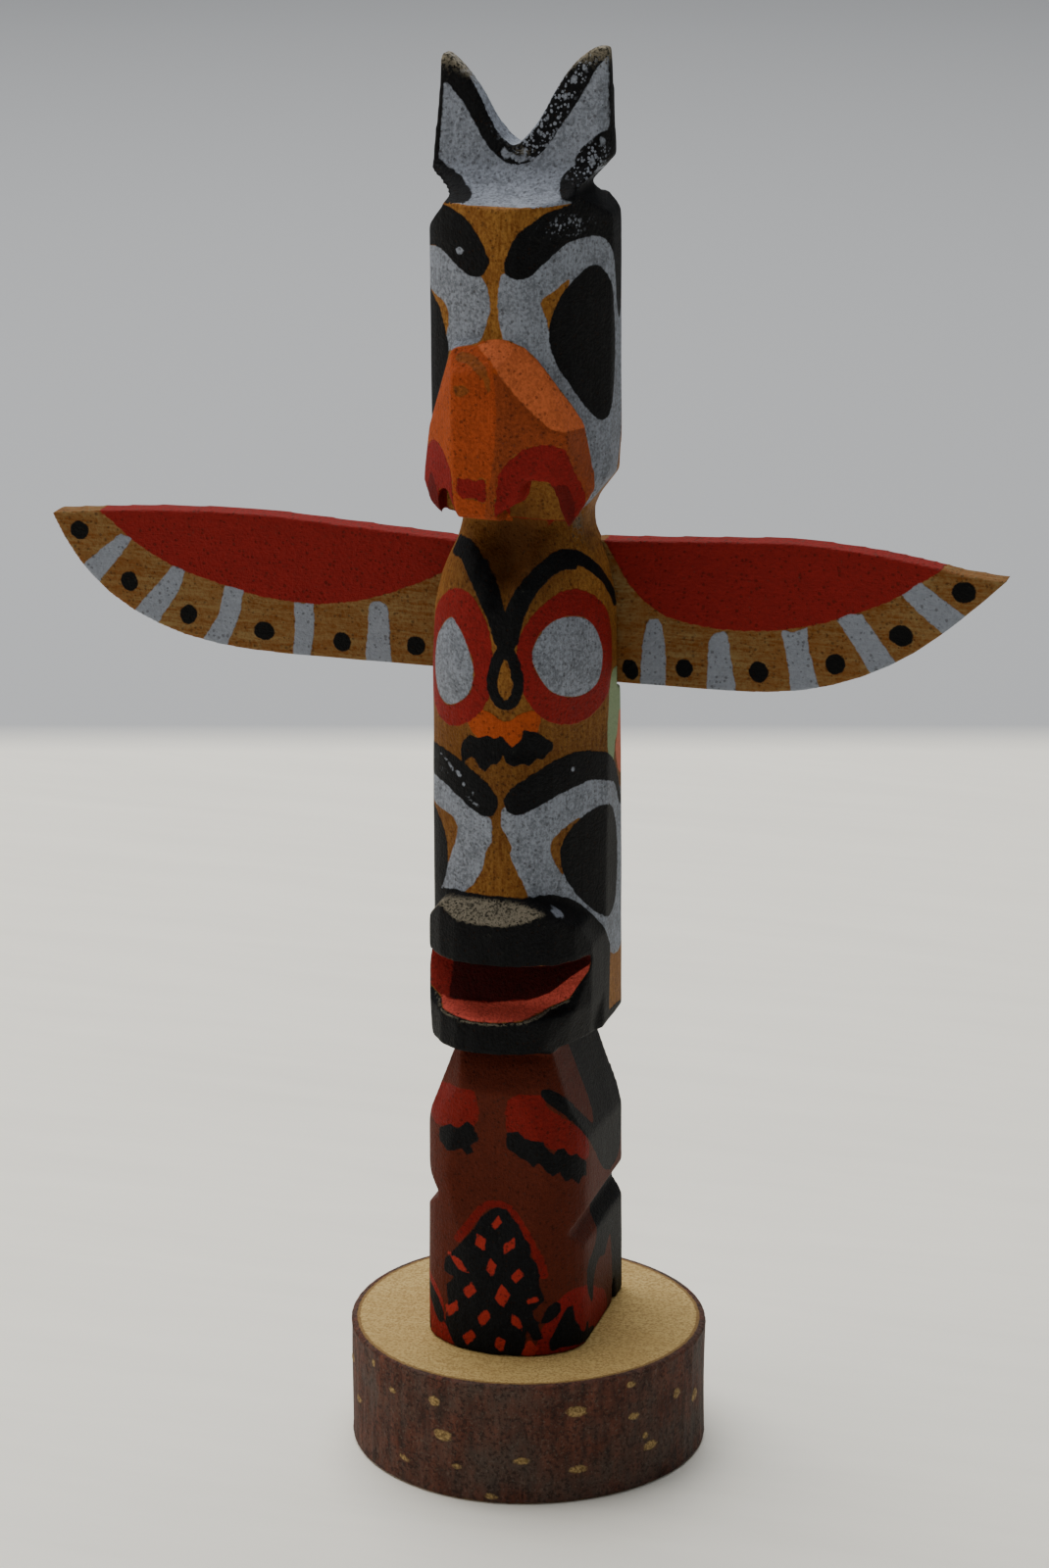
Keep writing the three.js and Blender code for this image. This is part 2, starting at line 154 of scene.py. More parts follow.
HEAD = {
    "pale": [
        ("patch", [(0.3, 152.9), (-0.1, 149.7), (0.3, 146.3), (1.2, 143.6), (4, 141.6),
            (5.8, 139.4), (9.8, 134), (10.6, 128), (10.4, 124), (15, 122.6), (19.6, 125.6),
            (21, 130), (21.2, 140), (20.6, 150), (18.8, 155), (15.7, 157), (12.7, 157.4),
            (8.5, 156.8), (5, 155), (2, 153.6)]),
        ("patch", [(-20, 156), (-11.4, 155.2), (-7.8, 155.4), (-4.2, 153.2), (-2.2, 152.8),
            (-1.3, 151.4), (-1, 149.4), (-1.3, 147.6), (-2.8, 144.4), (-6.5, 143.4), (-8.2, 139.6),
            (-8.8, 134), (-9.4, 128), (-9.8, 124), (-15, 122.8), (-20.6, 126), (-21.4, 134),
            (-21.6, 148)]),
    ],
    "pale off": [
        ("patch", [(4.9, 149.8), (6.6, 150.9), (8.9, 152.1), (8.4, 150.6), (7, 148.6), (6.2, 146),
            (5.6, 147.6)]),
        ("patch", [(-12.6, 150.2), (-10.7, 150), (-7.3, 149), (-6.6, 147.2), (-7, 145.4),
            (-7.4, 144.2), (-9, 147)]),
    ],
    "black": [
        ("patch", [(-21, 159.4), (-12, 160.4), (-7.4, 160.6), (-4.6, 159.8), (-2.5, 157.8),
            (-1.1, 154.9), (-1.4, 153.6), (-2.3, 152.7), (-4.2, 153), (-7.8, 155.3), (-11.4, 155),
            (-16, 153.6), (-20, 154)]),
        ("patch", [(0.6, 153.7), (1.1, 155.8), (2.3, 158), (5, 159.9), (8, 160.7), (12, 161.2),
            (18, 161.6), (24, 160.8), (24.8, 156), (21.8, 152.4), (20.2, 146), (19, 147.6),
            (18.2, 151), (17, 154.2), (15.4, 156.1), (12.7, 156.7), (8.5, 156.3), (5.2, 154.2),
            (3.4, 152.7), (1.4, 152.7)]),
        ("patch", [(5.9, 145.9), (6.6, 148.6), (9, 151.5), (13.3, 153.3), (16.3, 151.4),
            (17.7, 147.9), (18.3, 142), (17.7, 137), (15.8, 134.3), (13, 135.6), (9.5, 139.1),
            (6.8, 142.5)]),
        ("patch", [(-13, 151), (-10.6, 149.9), (-8.2, 148.1), (-6.9, 144.9), (-6.6, 141.4),
            (-7.6, 137.6), (-10.4, 135), (-14, 134.6), (-17.4, 138), (-18.2, 144),
            (-16.4, 149.4)]),
    ],
    "chip": [("blob", (-4.8, 155.5), (0.5, 0.45), 0)],
    "orange": [
        ("cut", [(-4.8, 143.8), (-4.1, 144.4), (-2.4, 144.8), (-1.7, 145.2), (0.1, 145.5),
            (1.2, 145.3), (2.9, 144.5), (4.3, 143.1), (5.5, 141.5), (6.9, 139.4), (8.5, 137.3),
            (9.6, 135.1), (10.3, 132.3), (11.5, 128.2), (11.2, 126), (10, 124.4), (8.6, 122.2),
            (0, 122.4), (-7.4, 122.6), (-9.6, 124.4), (-10.8, 126.6), (-11.9, 129.5), (-12, 133),
            (-10, 134.4), (-8, 137), (-6.6, 140), (-5.6, 142.6)]),
    ],
    # Facets of the beak, each painted its own orange as painted light and shade: lighter on the
    # upper facet, which faces the light, darker on the outer and under facets, a middle tone on the
    # ridge.
    "outer": [
        ("cut", [(0.4, 144), (12, 140), (13, 120), (0.4, 120)]),
    ],
    "under": [
        ("cut", [(0, 142.4), (0.8, 141.4), (2.1, 139.4), (3.8, 137), (5.3, 135.4), (6.6, 134.9),
            (7.3, 133.8), (6.6, 132.2), (4.4, 131), (1.6, 130.6), (1, 128), (0.4, 124), (0, 121),
            (-1.4, 121), (-0.4, 128), (0, 136)]),
    ],
    "upper": [
        ("cut", [(-2.2, 144.7), (-1.2, 145.3), (0.6, 145.8), (2.4, 145.2), (4.4, 143.2), (6, 141),
            (7.8, 138.6), (9.9, 135.9), (10.4, 134.7), (9, 134.7), (6.6, 134.8), (5.3, 135.4),
            (3.8, 137), (2.1, 139.4), (0.8, 141.4), (-0.3, 143.2)]),
    ],
    "ridge": [
        ("cut", [(-4.8, 143.9), (-2.4, 144.7), (-0.6, 143.4), (0.2, 141.4), (0.5, 137.1),
            (0.3, 132.8), (-0.1, 129.1), (-0.6, 125.6), (-1.2, 121), (-4.4, 121), (-3.4, 127.2),
            (-3.5, 133.1), (-3.7, 140.4)]),
    ],
    "dirt": [
        ("patch", [(-3.6, 143.9), (-2.2, 143.7), (-0.8, 142.6), (-0.2, 141.2), (-0.2, 139.4),
            (-0.9, 141.2), (-2.3, 142.6), (-3.8, 143)]),
        ("patch", [(-3.4, 140.2), (-2.5, 140.3), (-2, 139.7), (-2.6, 139), (-3.3, 139.2)]),
    ],
    "red": [
        ("cut", [(-3, 129.5), (-2.6, 129.1), (-2.1, 129.4), (-1.4, 129.1), (-0.9, 129.5),
            (-0.5, 129.3), (-0.4, 127), (-0.7, 126.3), (-1.6, 126.9), (-2.5, 126.8),
            (-3.1, 127.6)]),
        ("patch", [(0.3, 124.2), (0.4, 127.7), (0.6, 129.8), (1.3, 131.3), (2.4, 132.6),
            (3.6, 133.3), (5, 133.4), (6.4, 133), (7.2, 131.8), (8.1, 129.6), (9.3, 127.5),
            (9.8, 125.6), (9.2, 122.4), (3, 121.8)]),
        ("patch", [(-10.9, 130), (-9.4, 131.6), (-7.6, 132.6), (-5.8, 132.4), (-4.3, 131),
            (-3.6, 129.4), (-3.5, 127), (-3.3, 124.2), (-5, 122.6), (-8, 122.6), (-10, 124.6),
            (-11, 127)]),
    ],
    # Painted shade: a darker red on the underside facets of the beak, which lie in shadow.
    "shaded red": [
        ("patch", [(-8.6, 128.2), (-7.6, 128.4), (-6.9, 127.4), (-6.2, 125.6), (-5.2, 124),
            (-6.4, 122.8), (-8.2, 123.2), (-9.2, 125.2)]),
        ("cut", [(5.5, 128.3), (7.1, 128.4), (8.2, 126), (8.4, 122.4), (7, 122.4), (6.5, 125.4)]),
    ],
}

# The pale middles of the round eyes, which their red rings leave clear.
EYE_WHITES = [
        ("patch", [(-6.2, 111), (-4.7, 110.1), (-3.4, 107.6), (-2.8, 105), (-3.3, 102.4),
            (-4.9, 100.7), (-6.9, 100), (-8.6, 101.2), (-9.3, 104.4), (-8.6, 108)]),
        ("patch", [(3.8, 106.6), (4.4, 109.2), (6.2, 110.9), (9, 111.2), (12.4, 110.4),
            (14.8, 108.5), (16, 105.4), (15.2, 102.2), (12.6, 101), (9, 101.2), (5.8, 102.8)]),
]

ROUND_EYED = {
    "black": [
        ("stroke", 2.3, [(-8.9, 119.1), (-6, 119), (-3.7, 117.4), (-1.8, 114.8), (-0.2, 111.8),
            (0.6, 109.2)]),
        ("stroke", 2.4, [(1.1, 109.2), (1.8, 112.3), (3.2, 115), (5.6, 117), (8.6, 117.9),
            (11.4, 117.6)]),
        ("stroke", 1.8, [(8.6, 118), (12.8, 117.6), (16.8, 115.4), (19.6, 112.8), (20.8, 110.9)]),
        ("stroke", 1.3, [(0.8, 108.6), (-0.3, 106), (-0.7, 103.4), (-0.1, 101.6), (0.8, 101),
            (1.7, 101.6), (2.2, 103.4), (1.9, 106), (0.9, 108.6)]),
    ],
    "red": [
        ("patch", [(-11.4, 105), (-10.4, 110), (-8.4, 113), (-6, 114.6), (-3.4, 114.2),
            (-1.4, 111.2), (-0.6, 106.8), (-1.2, 101.6), (-3.4, 98.7), (-6.6, 97.3), (-9.6, 98.6),
            (-11.2, 101)]),
        ("patch", [(2, 106.4), (2.5, 110), (4.6, 112.8), (8, 114.3), (12, 114), (16, 112),
            (18.5, 108.6), (19, 105), (18.2, 101), (15, 98.4), (10.6, 97.5), (6, 98.6),
            (3.2, 101.6)]),
    ],
    "red off": EYE_WHITES,
    "pale": EYE_WHITES,
    "orange": [
        ("patch", [(-3.6, 100.2), (-1.3, 100), (0.7, 98.9), (2.6, 100), (4.8, 100), (4.4, 97.2),
            (2.6, 96.2), (0.8, 95.4), (-1.1, 95.9), (-3, 96.6), (-3.9, 98.2)]),
    ],
    "green": [
        ("patch", [(18.4, 101.4), (20.5, 102.4), (23.6, 101), (23.6, 96), (22.2, 94.4), (20.4, 93),
            (19.4, 90.6), (17.4, 91.6), (17.2, 96)]),
        ("patch", [(-18.4, 101), (-21, 102.2), (-23.6, 101), (-23.6, 95), (-21, 92), (-18.4, 93)]),
    ],
    "rose": [
        ("patch", [(22, 96.4), (21.2, 94), (20.4, 92), (21, 90), (22.2, 88.2), (23.4, 89.6),
            (23.4, 95)]),
    ],
}

HEAVY_BROWED = {
    "black": [
        ("patch", [(-24, 93.6), (-18, 93.9), (-12, 94), (-8.8, 94.2), (-6, 93.8), (-3.7, 92.6),
            (-1.6, 91.2), (-0.4, 89.7), (-0.1, 88.4), (-0.7, 87), (-1.7, 86.7), (-3.2, 87.3),
            (-5.2, 88.6), (-7.4, 89.8), (-10.5, 90.2), (-15, 90), (-19, 88.6), (-22.4, 84),
            (-23.6, 86)]),
        ("patch", [(0.5, 89), (1.2, 90.4), (2.6, 91.5), (4.7, 92.7), (7.3, 93.6), (11.2, 93.9),
            (16.4, 92.7), (19.4, 91), (21.2, 88.6), (22.6, 84.6), (21.9, 84.4), (20.4, 87.2),
            (18.4, 88.4), (13.9, 89.7), (11.2, 89.6), (7.8, 89.1), (4.7, 88.1), (2.8, 87.3),
            (1.6, 87.2), (0.8, 87.9)]),
        ("patch", [(7.8, 81.5), (8.3, 83), (10, 84.6), (12.8, 85.7), (15.8, 86.1), (18.6, 85.2),
            (20.4, 83), (21.2, 79.4), (21.2, 75), (20.4, 72), (18.2, 71), (15.9, 71.7),
            (12.9, 73.7), (10, 76.4), (8.3, 79)]),
        ("patch", [(-7.2, 81.6), (-7.8, 84), (-9.8, 86), (-13, 86.6), (-17, 85.6), (-20, 82),
            (-20.4, 77), (-18, 73), (-14, 72.4), (-10.4, 74), (-8.3, 76.4), (-7.3, 79)]),
    ],
    "pale": [
        ("patch", [(0.6, 88.2), (0.2, 86.6), (0.3, 85.4), (0.9, 84.3), (1.4, 83), (1.3, 81.9),
            (1.7, 80.6), (2.4, 79.1), (2.9, 77.9), (3.5, 76.4), (4.2, 75), (9, 72.8), (13.4, 70.6),
            (17.6, 67.6), (19.3, 65.6), (23, 65.2), (23.9, 70), (23.6, 80), (22.2, 86.4),
            (18.6, 88.8), (13.9, 90.2), (7.8, 89.6), (2.8, 88.2)]),
        ("patch", [(-22.8, 86.4), (-19, 89), (-15, 90.4), (-10.5, 90.4), (-7.2, 90), (-5.1, 88.8),
            (-3, 87.6), (-1.6, 87), (-0.9, 86), (-1, 83.4), (-1.6, 82.4), (-1.9, 81), (-2.3, 79.7),
            (-3.2, 78.1), (-4.6, 76.4), (-5.6, 74.8), (-9.4, 72.6), (-14, 69.4), (-19.6, 66),
            (-23, 66), (-23.8, 76)]),
    ],
    "pale off": [
        ("patch", [(6.3, 82.9), (7.4, 84.1), (10.2, 85.3), (11.6, 85.2), (10, 84.3), (8.6, 82.8),
            (8.2, 80.6), (8.4, 78.6), (6.9, 80.6)]),
        ("patch", [(-11.4, 86.6), (-8.6, 86.4), (-6.3, 85.9), (-5.5, 84.6), (-5.8, 82.8),
            (-6.5, 81.2), (-7.4, 79.4), (-8.4, 82), (-10, 85)]),
    ],
    "squiggle": [
        ("cut", [(-5.2, 94.6), (-4.7, 95.9), (-3.7, 96.7), (-2.6, 96.5), (-1.6, 97), (-0.6, 96.6),
            (0.1, 97.1), (1, 96.2), (1.5, 95.7), (2.6, 96.8), (2.8, 97.9), (4.5, 97.4),
            (5.7, 96.4), (6.9, 95.7), (6.6, 94.8), (5.9, 94.6), (5.4, 93.8), (4.4, 94.1),
            (3.5, 93.2), (2.8, 93.7), (1.7, 93.3), (0.8, 93.8), (0.3, 94.7), (-0.2, 93.5),
            (-1, 93.3), (-1.7, 92.4), (-2.5, 92.8), (-3, 93.7), (-3.6, 94), (-4.7, 93)]),
    ],
    "chip": [
        ("stroke", 0.2, [(-8.4, 93.4), (-7.4, 93), (-6.6, 92.5)]),
        ("blob", (-6.3, 92.1), (0.4, 0.2), -30), ("blob", (-5.2, 91.6), (0.5, 0.25), -30),
        ("blob", (-4.4, 90.4), (0.2, 0.25), 0), ("blob", (-3.7, 88.7), (0.5, 0.2), -25),
        ("blob", (-2.8, 88.1), (0.4, 0.18), -20), ("blob", (-3.2, 89.4), (0.15, 0.15), 0),
        ("blob", (10, 91.9), (0.35, 0.3), 0), ("blob", (6.6, 74.8), (0.8, 0.35), -30),
    ],
}

BEAVER = {
    "orange": [
        ("patch", [(-8.2, 50.6), (-6, 51.4), (-2.6, 51.9), (-1.8, 51), (-1.7, 48.4), (-2.4, 46.9),
            (-4, 46.6), (-6.4, 46), (-8, 46.4), (-8.6, 48.4)]),
        ("patch", [(1.3, 51), (1.9, 51.7), (3.1, 52), (4.7, 51.8), (5.1, 50.3), (6.7, 48.6),
            (8.9, 46.3), (10.2, 44.1), (10.1, 42), (8, 43.1), (6.6, 44), (4.9, 45), (3.1, 45.9),
            (1.3, 46.6), (1.1, 49)]),
    ],
    "red": [
        ("patch", [(5.6, 23.6), (6.6, 24.9), (8, 25.4), (10.6, 24.6), (14, 22.4), (17.6, 20.4),
            (17.8, 17), (5, 17), (4.2, 19.5), (4.8, 21.6)]),
        ("patch", [(-5.2, 21), (-5.6, 23), (-7, 24.6), (-9.4, 25.2), (-13.6, 23.4), (-17.6, 20.4),
            (-17.8, 17), (-5, 17), (-4.6, 19)]),
    ],
    "rim": [
        ("stroke", 0.95, [(-3.6, 31.9), (-2.8, 33.4), (-1.8, 35.5), (-0.9, 36.6), (0.2, 36.9),
            (1.4, 36.5), (2.4, 35), (3.4, 32.6), (4.2, 30.4), (4.7, 28)]),
    ],
    "tail": [
        ("cut", [(-0.7, 36.1), (0.2, 36.6), (1.2, 36.4), (1.8, 35.4), (2.5, 34.6), (3, 33),
            (3.6, 32), (3.5, 30.8), (4.1, 29.4), (4.4, 28), (4.3, 26.6), (4.9, 24.7), (4.2, 24),
            (3.7, 23.2), (4.5, 20.4), (4.7, 19.4), (3.8, 19.3), (3.2, 20.6), (2.9, 18),
            (2.4, 16.9), (-3.6, 16.9), (-4.5, 18.6), (-5.2, 20), (-4.8, 22.4), (-5, 25.2),
            (-4, 26.6), (-5.4, 26.8), (-5.2, 28.6), (-3.9, 30.4), (-2.8, 32.2), (-2, 33.6),
            (-1.4, 35.2)]),
    ],
    "diamonds": [
        ((0.2, 34.5), 0.5, 0.75, 6), ((-1.3, 31.9), 0.6, 0.85, -22), ((1.5, 31.8), 0.5, 1.0, 24),
        ((-3.4, 28.5), 0.55, 1.2, -50), ((-0.2, 28.8), 0.55, 0.95, -6), ((2.3, 28), 0.6, 0.8, 10),
        ((-2.3, 25.3), 0.65, 0.95, 10), ((0.9, 25.2), 0.75, 1.15, -4), ((3.7, 24.8), 0.55, 0.5, 40),
        ((-4.2, 22.2), 0.6, 1.1, 22), ((-0.8, 22), 0.65, 1.0, 8), ((2.2, 21.9), 0.45, 1.0, -24),
        ((-2.3, 19), 0.7, 0.9, 12), ((0.7, 18.7), 0.65, 0.8, -14), ((3.4, 18), 0.6, 0.8, 0),
    ],
    "black": [
        ("cut", [(-6.3, 45.6), (-5.2, 46.5), (-4.5, 46.9), (-3.8, 46.4), (-2.9, 47.6),
            (-2.3, 47.1), (-1.7, 45.2), (-2.7, 44.4), (-2.3, 43.4), (-3.1, 42.9), (-3.6, 43.8),
            (-4.3, 43.3), (-5.1, 43.1), (-5.6, 43.7), (-6.3, 43.9)]),
        ("cut", [(1.1, 46.7), (2.3, 46.9), (3, 46.2), (3.8, 45.9), (4.6, 45.8), (5.1, 45),
            (5.7, 43.9), (6.1, 44.6), (6.8, 44.6), (7.4, 43.5), (8.3, 43.4), (9, 42.4),
            (9.8, 41.6), (9.8, 39.9), (9, 40), (8.4, 39.2), (7.6, 40.3), (6.9, 40.1), (6.3, 41.6),
            (5.6, 41.1), (5, 41.7), (4.4, 42.9), (3.8, 42.2), (3.2, 42.9), (2.6, 43.3), (1.9, 44),
            (1.1, 44.4)]),
        ("patch", [(4.5, 52.6), (5.7, 52.3), (7.3, 50.8), (9.6, 48), (12.6, 45), (13.4, 42.4),
            (12.6, 41.6), (10.6, 43.9), (8.3, 47), (6.4, 49.4), (4.9, 51.1)]),
        ("patch", [(12.6, 57.6), (24, 57.6), (26.4, 52), (26.4, 44), (24, 40), (23, 37),
            (19.5, 36.4), (15.6, 38.4), (12.6, 41.6), (11.6, 44.2), (13.3, 46.4), (13.4, 49),
            (12.6, 52)]),
        ("patch", [(-12.6, 57.6), (-24, 57.6), (-26.4, 52), (-26.4, 44), (-24, 40), (-20, 38.6),
            (-15.6, 39.6), (-12.4, 42.6), (-11.4, 45), (-12.9, 49)]),
        ("patch", [(14.4, 32), (17, 34), (21, 35), (26.4, 34), (26.4, 17), (22, 17), (21, 20),
            (20.6, 24), (19.7, 27.4), (17.4, 25.6), (14.6, 26.2), (12.4, 24.6), (12, 21.6),
            (11, 22.4), (10.1, 24.4), (10.3, 27.6), (12.8, 29)]),
        ("patch", [(-14.4, 34.6), (-17, 36.4), (-21, 37), (-26.4, 36), (-26.4, 17), (-22, 17),
            (-21, 20), (-20.6, 25), (-19.7, 28.4), (-17.4, 27.4), (-14.6, 27.4), (-12, 24.6),
            (-10.6, 23.6), (-10, 26), (-10.8, 29.6), (-12.8, 32)]),
        ("patch", [(4.5, 21.6), (4.9, 23.2), (5.7, 24.2), (6.4, 23.9), (6.2, 22.6), (5.3, 21.6)]),
        ("cut", [(5.1, 18.8), (5.8, 20.4), (6.4, 22), (7.1, 23.3), (7.8, 23.3), (7.9, 21.2),
            (8.4, 20.5), (9, 19), (9.6, 18.9), (9.9, 19.9), (10.5, 19.6), (10.4, 18.6), (12.6, 18),
            (12.8, 17), (11, 16.9), (8, 17.7), (6.4, 17.9), (5.4, 17.6)]),
        ("patch", [(-9.4, 24), (-8.2, 24), (-6.6, 23.2), (-5.4, 21.4), (-5.3, 20), (-6, 19.6),
            (-7.3, 21), (-8.6, 22.2)]),
        ("patch", [(-11.6, 21.2), (-10.2, 21.4), (-8.4, 19.6), (-7.8, 17.6), (-9, 17.4),
            (-10.8, 19)]),
    ],
}

EARS = {
    "black": [
        ("patch", [(-10.2, 177.2), (-8.6, 177), (-6.4, 175), (-4.5, 171.8), (-3.2, 169.2),
            (-1.9, 167.6), (-0.8, 167), (0.5, 167.4), (1.9, 169), (3.3, 171.8), (5.2, 175),
            (7.3, 177.6), (9.4, 179.2), (10.9, 178.2), (10, 177.1), (9, 175.9), (7.8, 173.7),
            (6.8, 172), (5.6, 170.2), (4.3, 168.2), (2.9, 166.2), (1.3, 164.9), (-0.2, 164.6),
            (-1.6, 164.7), (-3.2, 165.9), (-4.7, 167.6), (-5.9, 169.5), (-7.4, 171.6),
            (-8.5, 172.8), (-9.4, 173.6), (-10.6, 173)]),
        ("patch", [(-11.6, 165.8), (-10.5, 165.3), (-9.5, 164.6), (-8, 163.8), (-6.7, 163.2),
            (-5.9, 162.5), (-4.9, 162), (-4.4, 161.4), (-4.7, 160.9), (-8, 160.2), (-12, 161)]),
        ("patch", [(12, 169.4), (10.2, 168.9), (8.8, 167.9), (7.4, 166.7), (6.8, 165.2),
            (5.7, 163.8), (5.5, 162.9), (5.9, 162), (6.8, 161.4), (8.6, 160.6), (12, 160)]),
        ("stroke", 1.6, [(-10.7, 165), (-10.5, 170), (-10.4, 176)]),
        ("stroke", 1.1, [(11, 165), (10.9, 171), (10.8, 178)]),
    ],
    "chip": [
        ("blob", (-1.7, 165.7), (0.4, 0.8), 20), ("blob", (-0.7, 165.5), (0.7, 0.3), -30),
        ("blob", (0.4, 165.3), (0.8, 0.35), 10), ("blob", (0.6, 166.2), (0.45, 0.4), 0),
        ("blob", (1.7, 165.3), (0.4, 0.3), 0), ("blob", (3.3, 166.9), (0.3, 0.25), 0),
        ("blob", (6.2, 174.6), (0.5, 0.4), 40), ("blob", (5.3, 172.6), (0.25, 0.5), -20),
        ("blob", (3.2, 170), (0.2, 0.4), -10), ("blob", (2.3, 168.4), (0.2, 0.35), 20),
        ("blob", (4.6, 170.2), (0.3, 0.2), 30), ("blob", (7.6, 175.9), (0.3, 0.5), 30),
        ("blob", (6.4, 164.9), (0.5, 0.35), 30), ("blob", (8.9, 165.4), (0.35, 0.6), 0),
        ("blob", (9.9, 167.6), (0.25, 0.45), 10), ("blob", (-2.6, 168.2), (0.15, 0.3), 30),
        ("blob", (-5.2, 172.8), (0.15, 0.35), 40), ("blob", (-7.4, 175), (0.35, 0.2), 0),
    ],
}

WINGS = {
    "red": [
        ("patch", [(-58, 119), (-58, 117), (-56, 115.5), (-53.6, 113.4), (-50.2, 111.4),
            (-46.5, 109.8), (-41, 108.3), (-37, 107.4), (-32, 106.9), (-27.4, 107), (-22, 108.1),
            (-16.6, 110.1), (-12.8, 112), (-10.6, 114), (-9, 119.4)]),
        ("patch", [(8, 119.6), (8.7, 117.4), (10, 114.9), (11.7, 112.3), (14, 110.1),
            (16.6, 108.7), (19.7, 108), (23.4, 107.7), (27, 107.8), (30.7, 108.2), (34.6, 109.1),
            (38.3, 110.3), (42.1, 111.9), (45.5, 113.7), (48.2, 115.7), (50.4, 117.4), (51, 120.4),
            (30, 121)]),
    ],
    "pale": [
        ("cut", [(-55, 114.1), (-53.5, 113.5), (-55.6, 110.6), (-58.6, 106.9), (-61, 109)]),
        ("cut", [(-48, 110.4), (-46.4, 109.8), (-47.2, 107.4), (-48.8, 105), (-51, 101.6),
            (-54.2, 103.2), (-50.6, 107.4)]),
        ("cut", [(-41.1, 108.4), (-38.6, 107.8), (-39.3, 104.4), (-41.4, 99.6), (-44.6, 100.4),
            (-42, 104.6)]),
        ("cut", [(-31.9, 106.9), (-29.3, 106.8), (-29.3, 103), (-30, 99.2), (-32.2, 99.2),
            (-31.9, 104)]),
        ("patch", [(-22, 107.1), (-21.2, 107.8), (-20.2, 107.7), (-19.5, 106.8), (-19.3, 103),
            (-19.4, 99), (-22.4, 99), (-22.2, 104)]),
        ("patch", [(13.8, 107.6), (14.8, 108.4), (15.6, 107.9), (16.2, 104.6), (16, 99),
            (13.3, 99), (13.2, 103.6)]),
        ("patch", [(21.8, 106.4), (22.7, 107.2), (23.9, 107.2), (24.4, 104.6), (25, 99),
            (21.8, 99), (21.6, 103.6)]),
        ("cut", [(30.7, 108.2), (32.3, 108.1), (33.9, 108.8), (34.2, 106), (35.8, 100.6),
            (32.1, 100), (31.5, 104.6)]),
        ("cut", [(37.5, 110), (39, 110.9), (40.6, 111), (42.6, 108.3), (45, 105.2), (42, 103.3),
            (39.9, 106.8)]),
        ("cut", [(45.4, 113.7), (47.7, 115.5), (50.4, 113.6), (53.6, 111.4), (50.8, 109.1),
            (47.4, 111.8)]),
    ],
    "black": [
        ("blob", (-60.6, 114.1), (1.25, 1.2), -20), ("blob", (-54, 107.9), (1.15, 1.3), 20),
        ("blob", (-46.1, 104.2), (1.15, 1.3), -10), ("blob", (-36, 102.8), (1.4, 1.2), 0),
        ("blob", (-25.6, 102.2), (1.2, 1.3), 0), ("blob", (-15.9, 102.5), (1.25, 1.25), 0),
        ("blob", (11.8, 101.7), (1.0, 1.35), 20), ("blob", (18.6, 102.4), (1.1, 1.2), 15),
        ("blob", (28, 102.7), (1.2, 1.35), -5), ("blob", (37.5, 104.5), (1.25, 1.3), 5),
        ("blob", (45.5, 108.7), (1.55, 1.3), -10), ("blob", (53, 114.6), (1.5, 1.3), 10),
    ],
}


# The two arches under the beak, as distances across and heights: bare wood shows in them.
ARCHES = [
    ("cut", [(0.2, 121), (0.3, 125), (2.3, 125.9), (3.1, 127.1), (3.4, 129), (6.2, 128.7),
        (6.8, 127), (7.3, 124.6), (8, 122.6), (8, 121)]),
    ("cut", [(-4.2, 121), (-4.5, 125), (-5.9, 127.4), (-7.4, 127), (-7.7, 121)]),
]

# The floor and back of the mouth from its front edge, as distances back and heights.
MOUTH_FLOOR = [(-17.2, 60.5), (-14.2, 61.3), (-9.9, 62.3), (-6.2, 68.4)]

# Distances across and heights of the lower lip's inner edge, and of the fold at the throat.
LIP_EDGE = ((-11, -9.6, -7.1, -3.1, 0.1, 3.2, 5.2, 8.2, 9.0, 10.0, 10.8),
            (65, 63.3, 61.6, 61, 61.1, 61.4, 62, 63.4, 64.8, 66.4, 68))
THROAT = ((-9.6, -6.7, -1.8, 3.1, 5.6, 7.9, 10.3), (62.8, 62.2, 62.2, 62.8, 63.8, 65.7, 67.4))

# Where handling has rubbed the shelf over the lips back to grey wood.
SHELF = ("patch", [(-8.4, 74.2), (-6.4, 75.8), (-3.6, 76.2), (0, 76.2), (3.4, 75.9), (5, 75),
                   (4.6, 73.2), (2.4, 72.2), (-1.2, 71.8), (-4.4, 71.6), (-7.2, 72)])

# Breathing pores on the front of the bark: distance round it from the right, height, half sizes.
BARK_PORES = [
    ((-48.5, 12.1), (0.8, 0.4)), ((-40.1, 8.4), (1.3, 0.8)), ((-29.5, 6), (1.1, 0.5)),
    ((-22.4, 12.4), (1.5, 0.75)), ((-22.1, 4.4), (1.3, 0.55)), ((-11.5, 5.4), (1.2, 0.65)),
    ((-14.2, 10.2), (1, 0.5)), ((-14.6, 14.6), (0.8, 0.45)), ((-33.5, 1), (0.9, 0.45)),
    ((-38.1, 4.5), (0.7, 0.35)), ((-1.4, 8.4), (1, 0.9)), ((-46.3, 3.5), (1, 0.4)),
    ((-41.3, 12.8), (0.9, 0.7)), ((-6.3, 10.7), (0.8, 0.7)), ((-12.3, 7), (0.5, 0.5)),
    ((-52.9, 14.2), (0.5, 0.5)), ((-58, 7), (1, 0.5)), ((-62, 11), (1.2, 0.6)),
]


# ---- measuring how far a point lies inside a brush shape ----------------------------------------

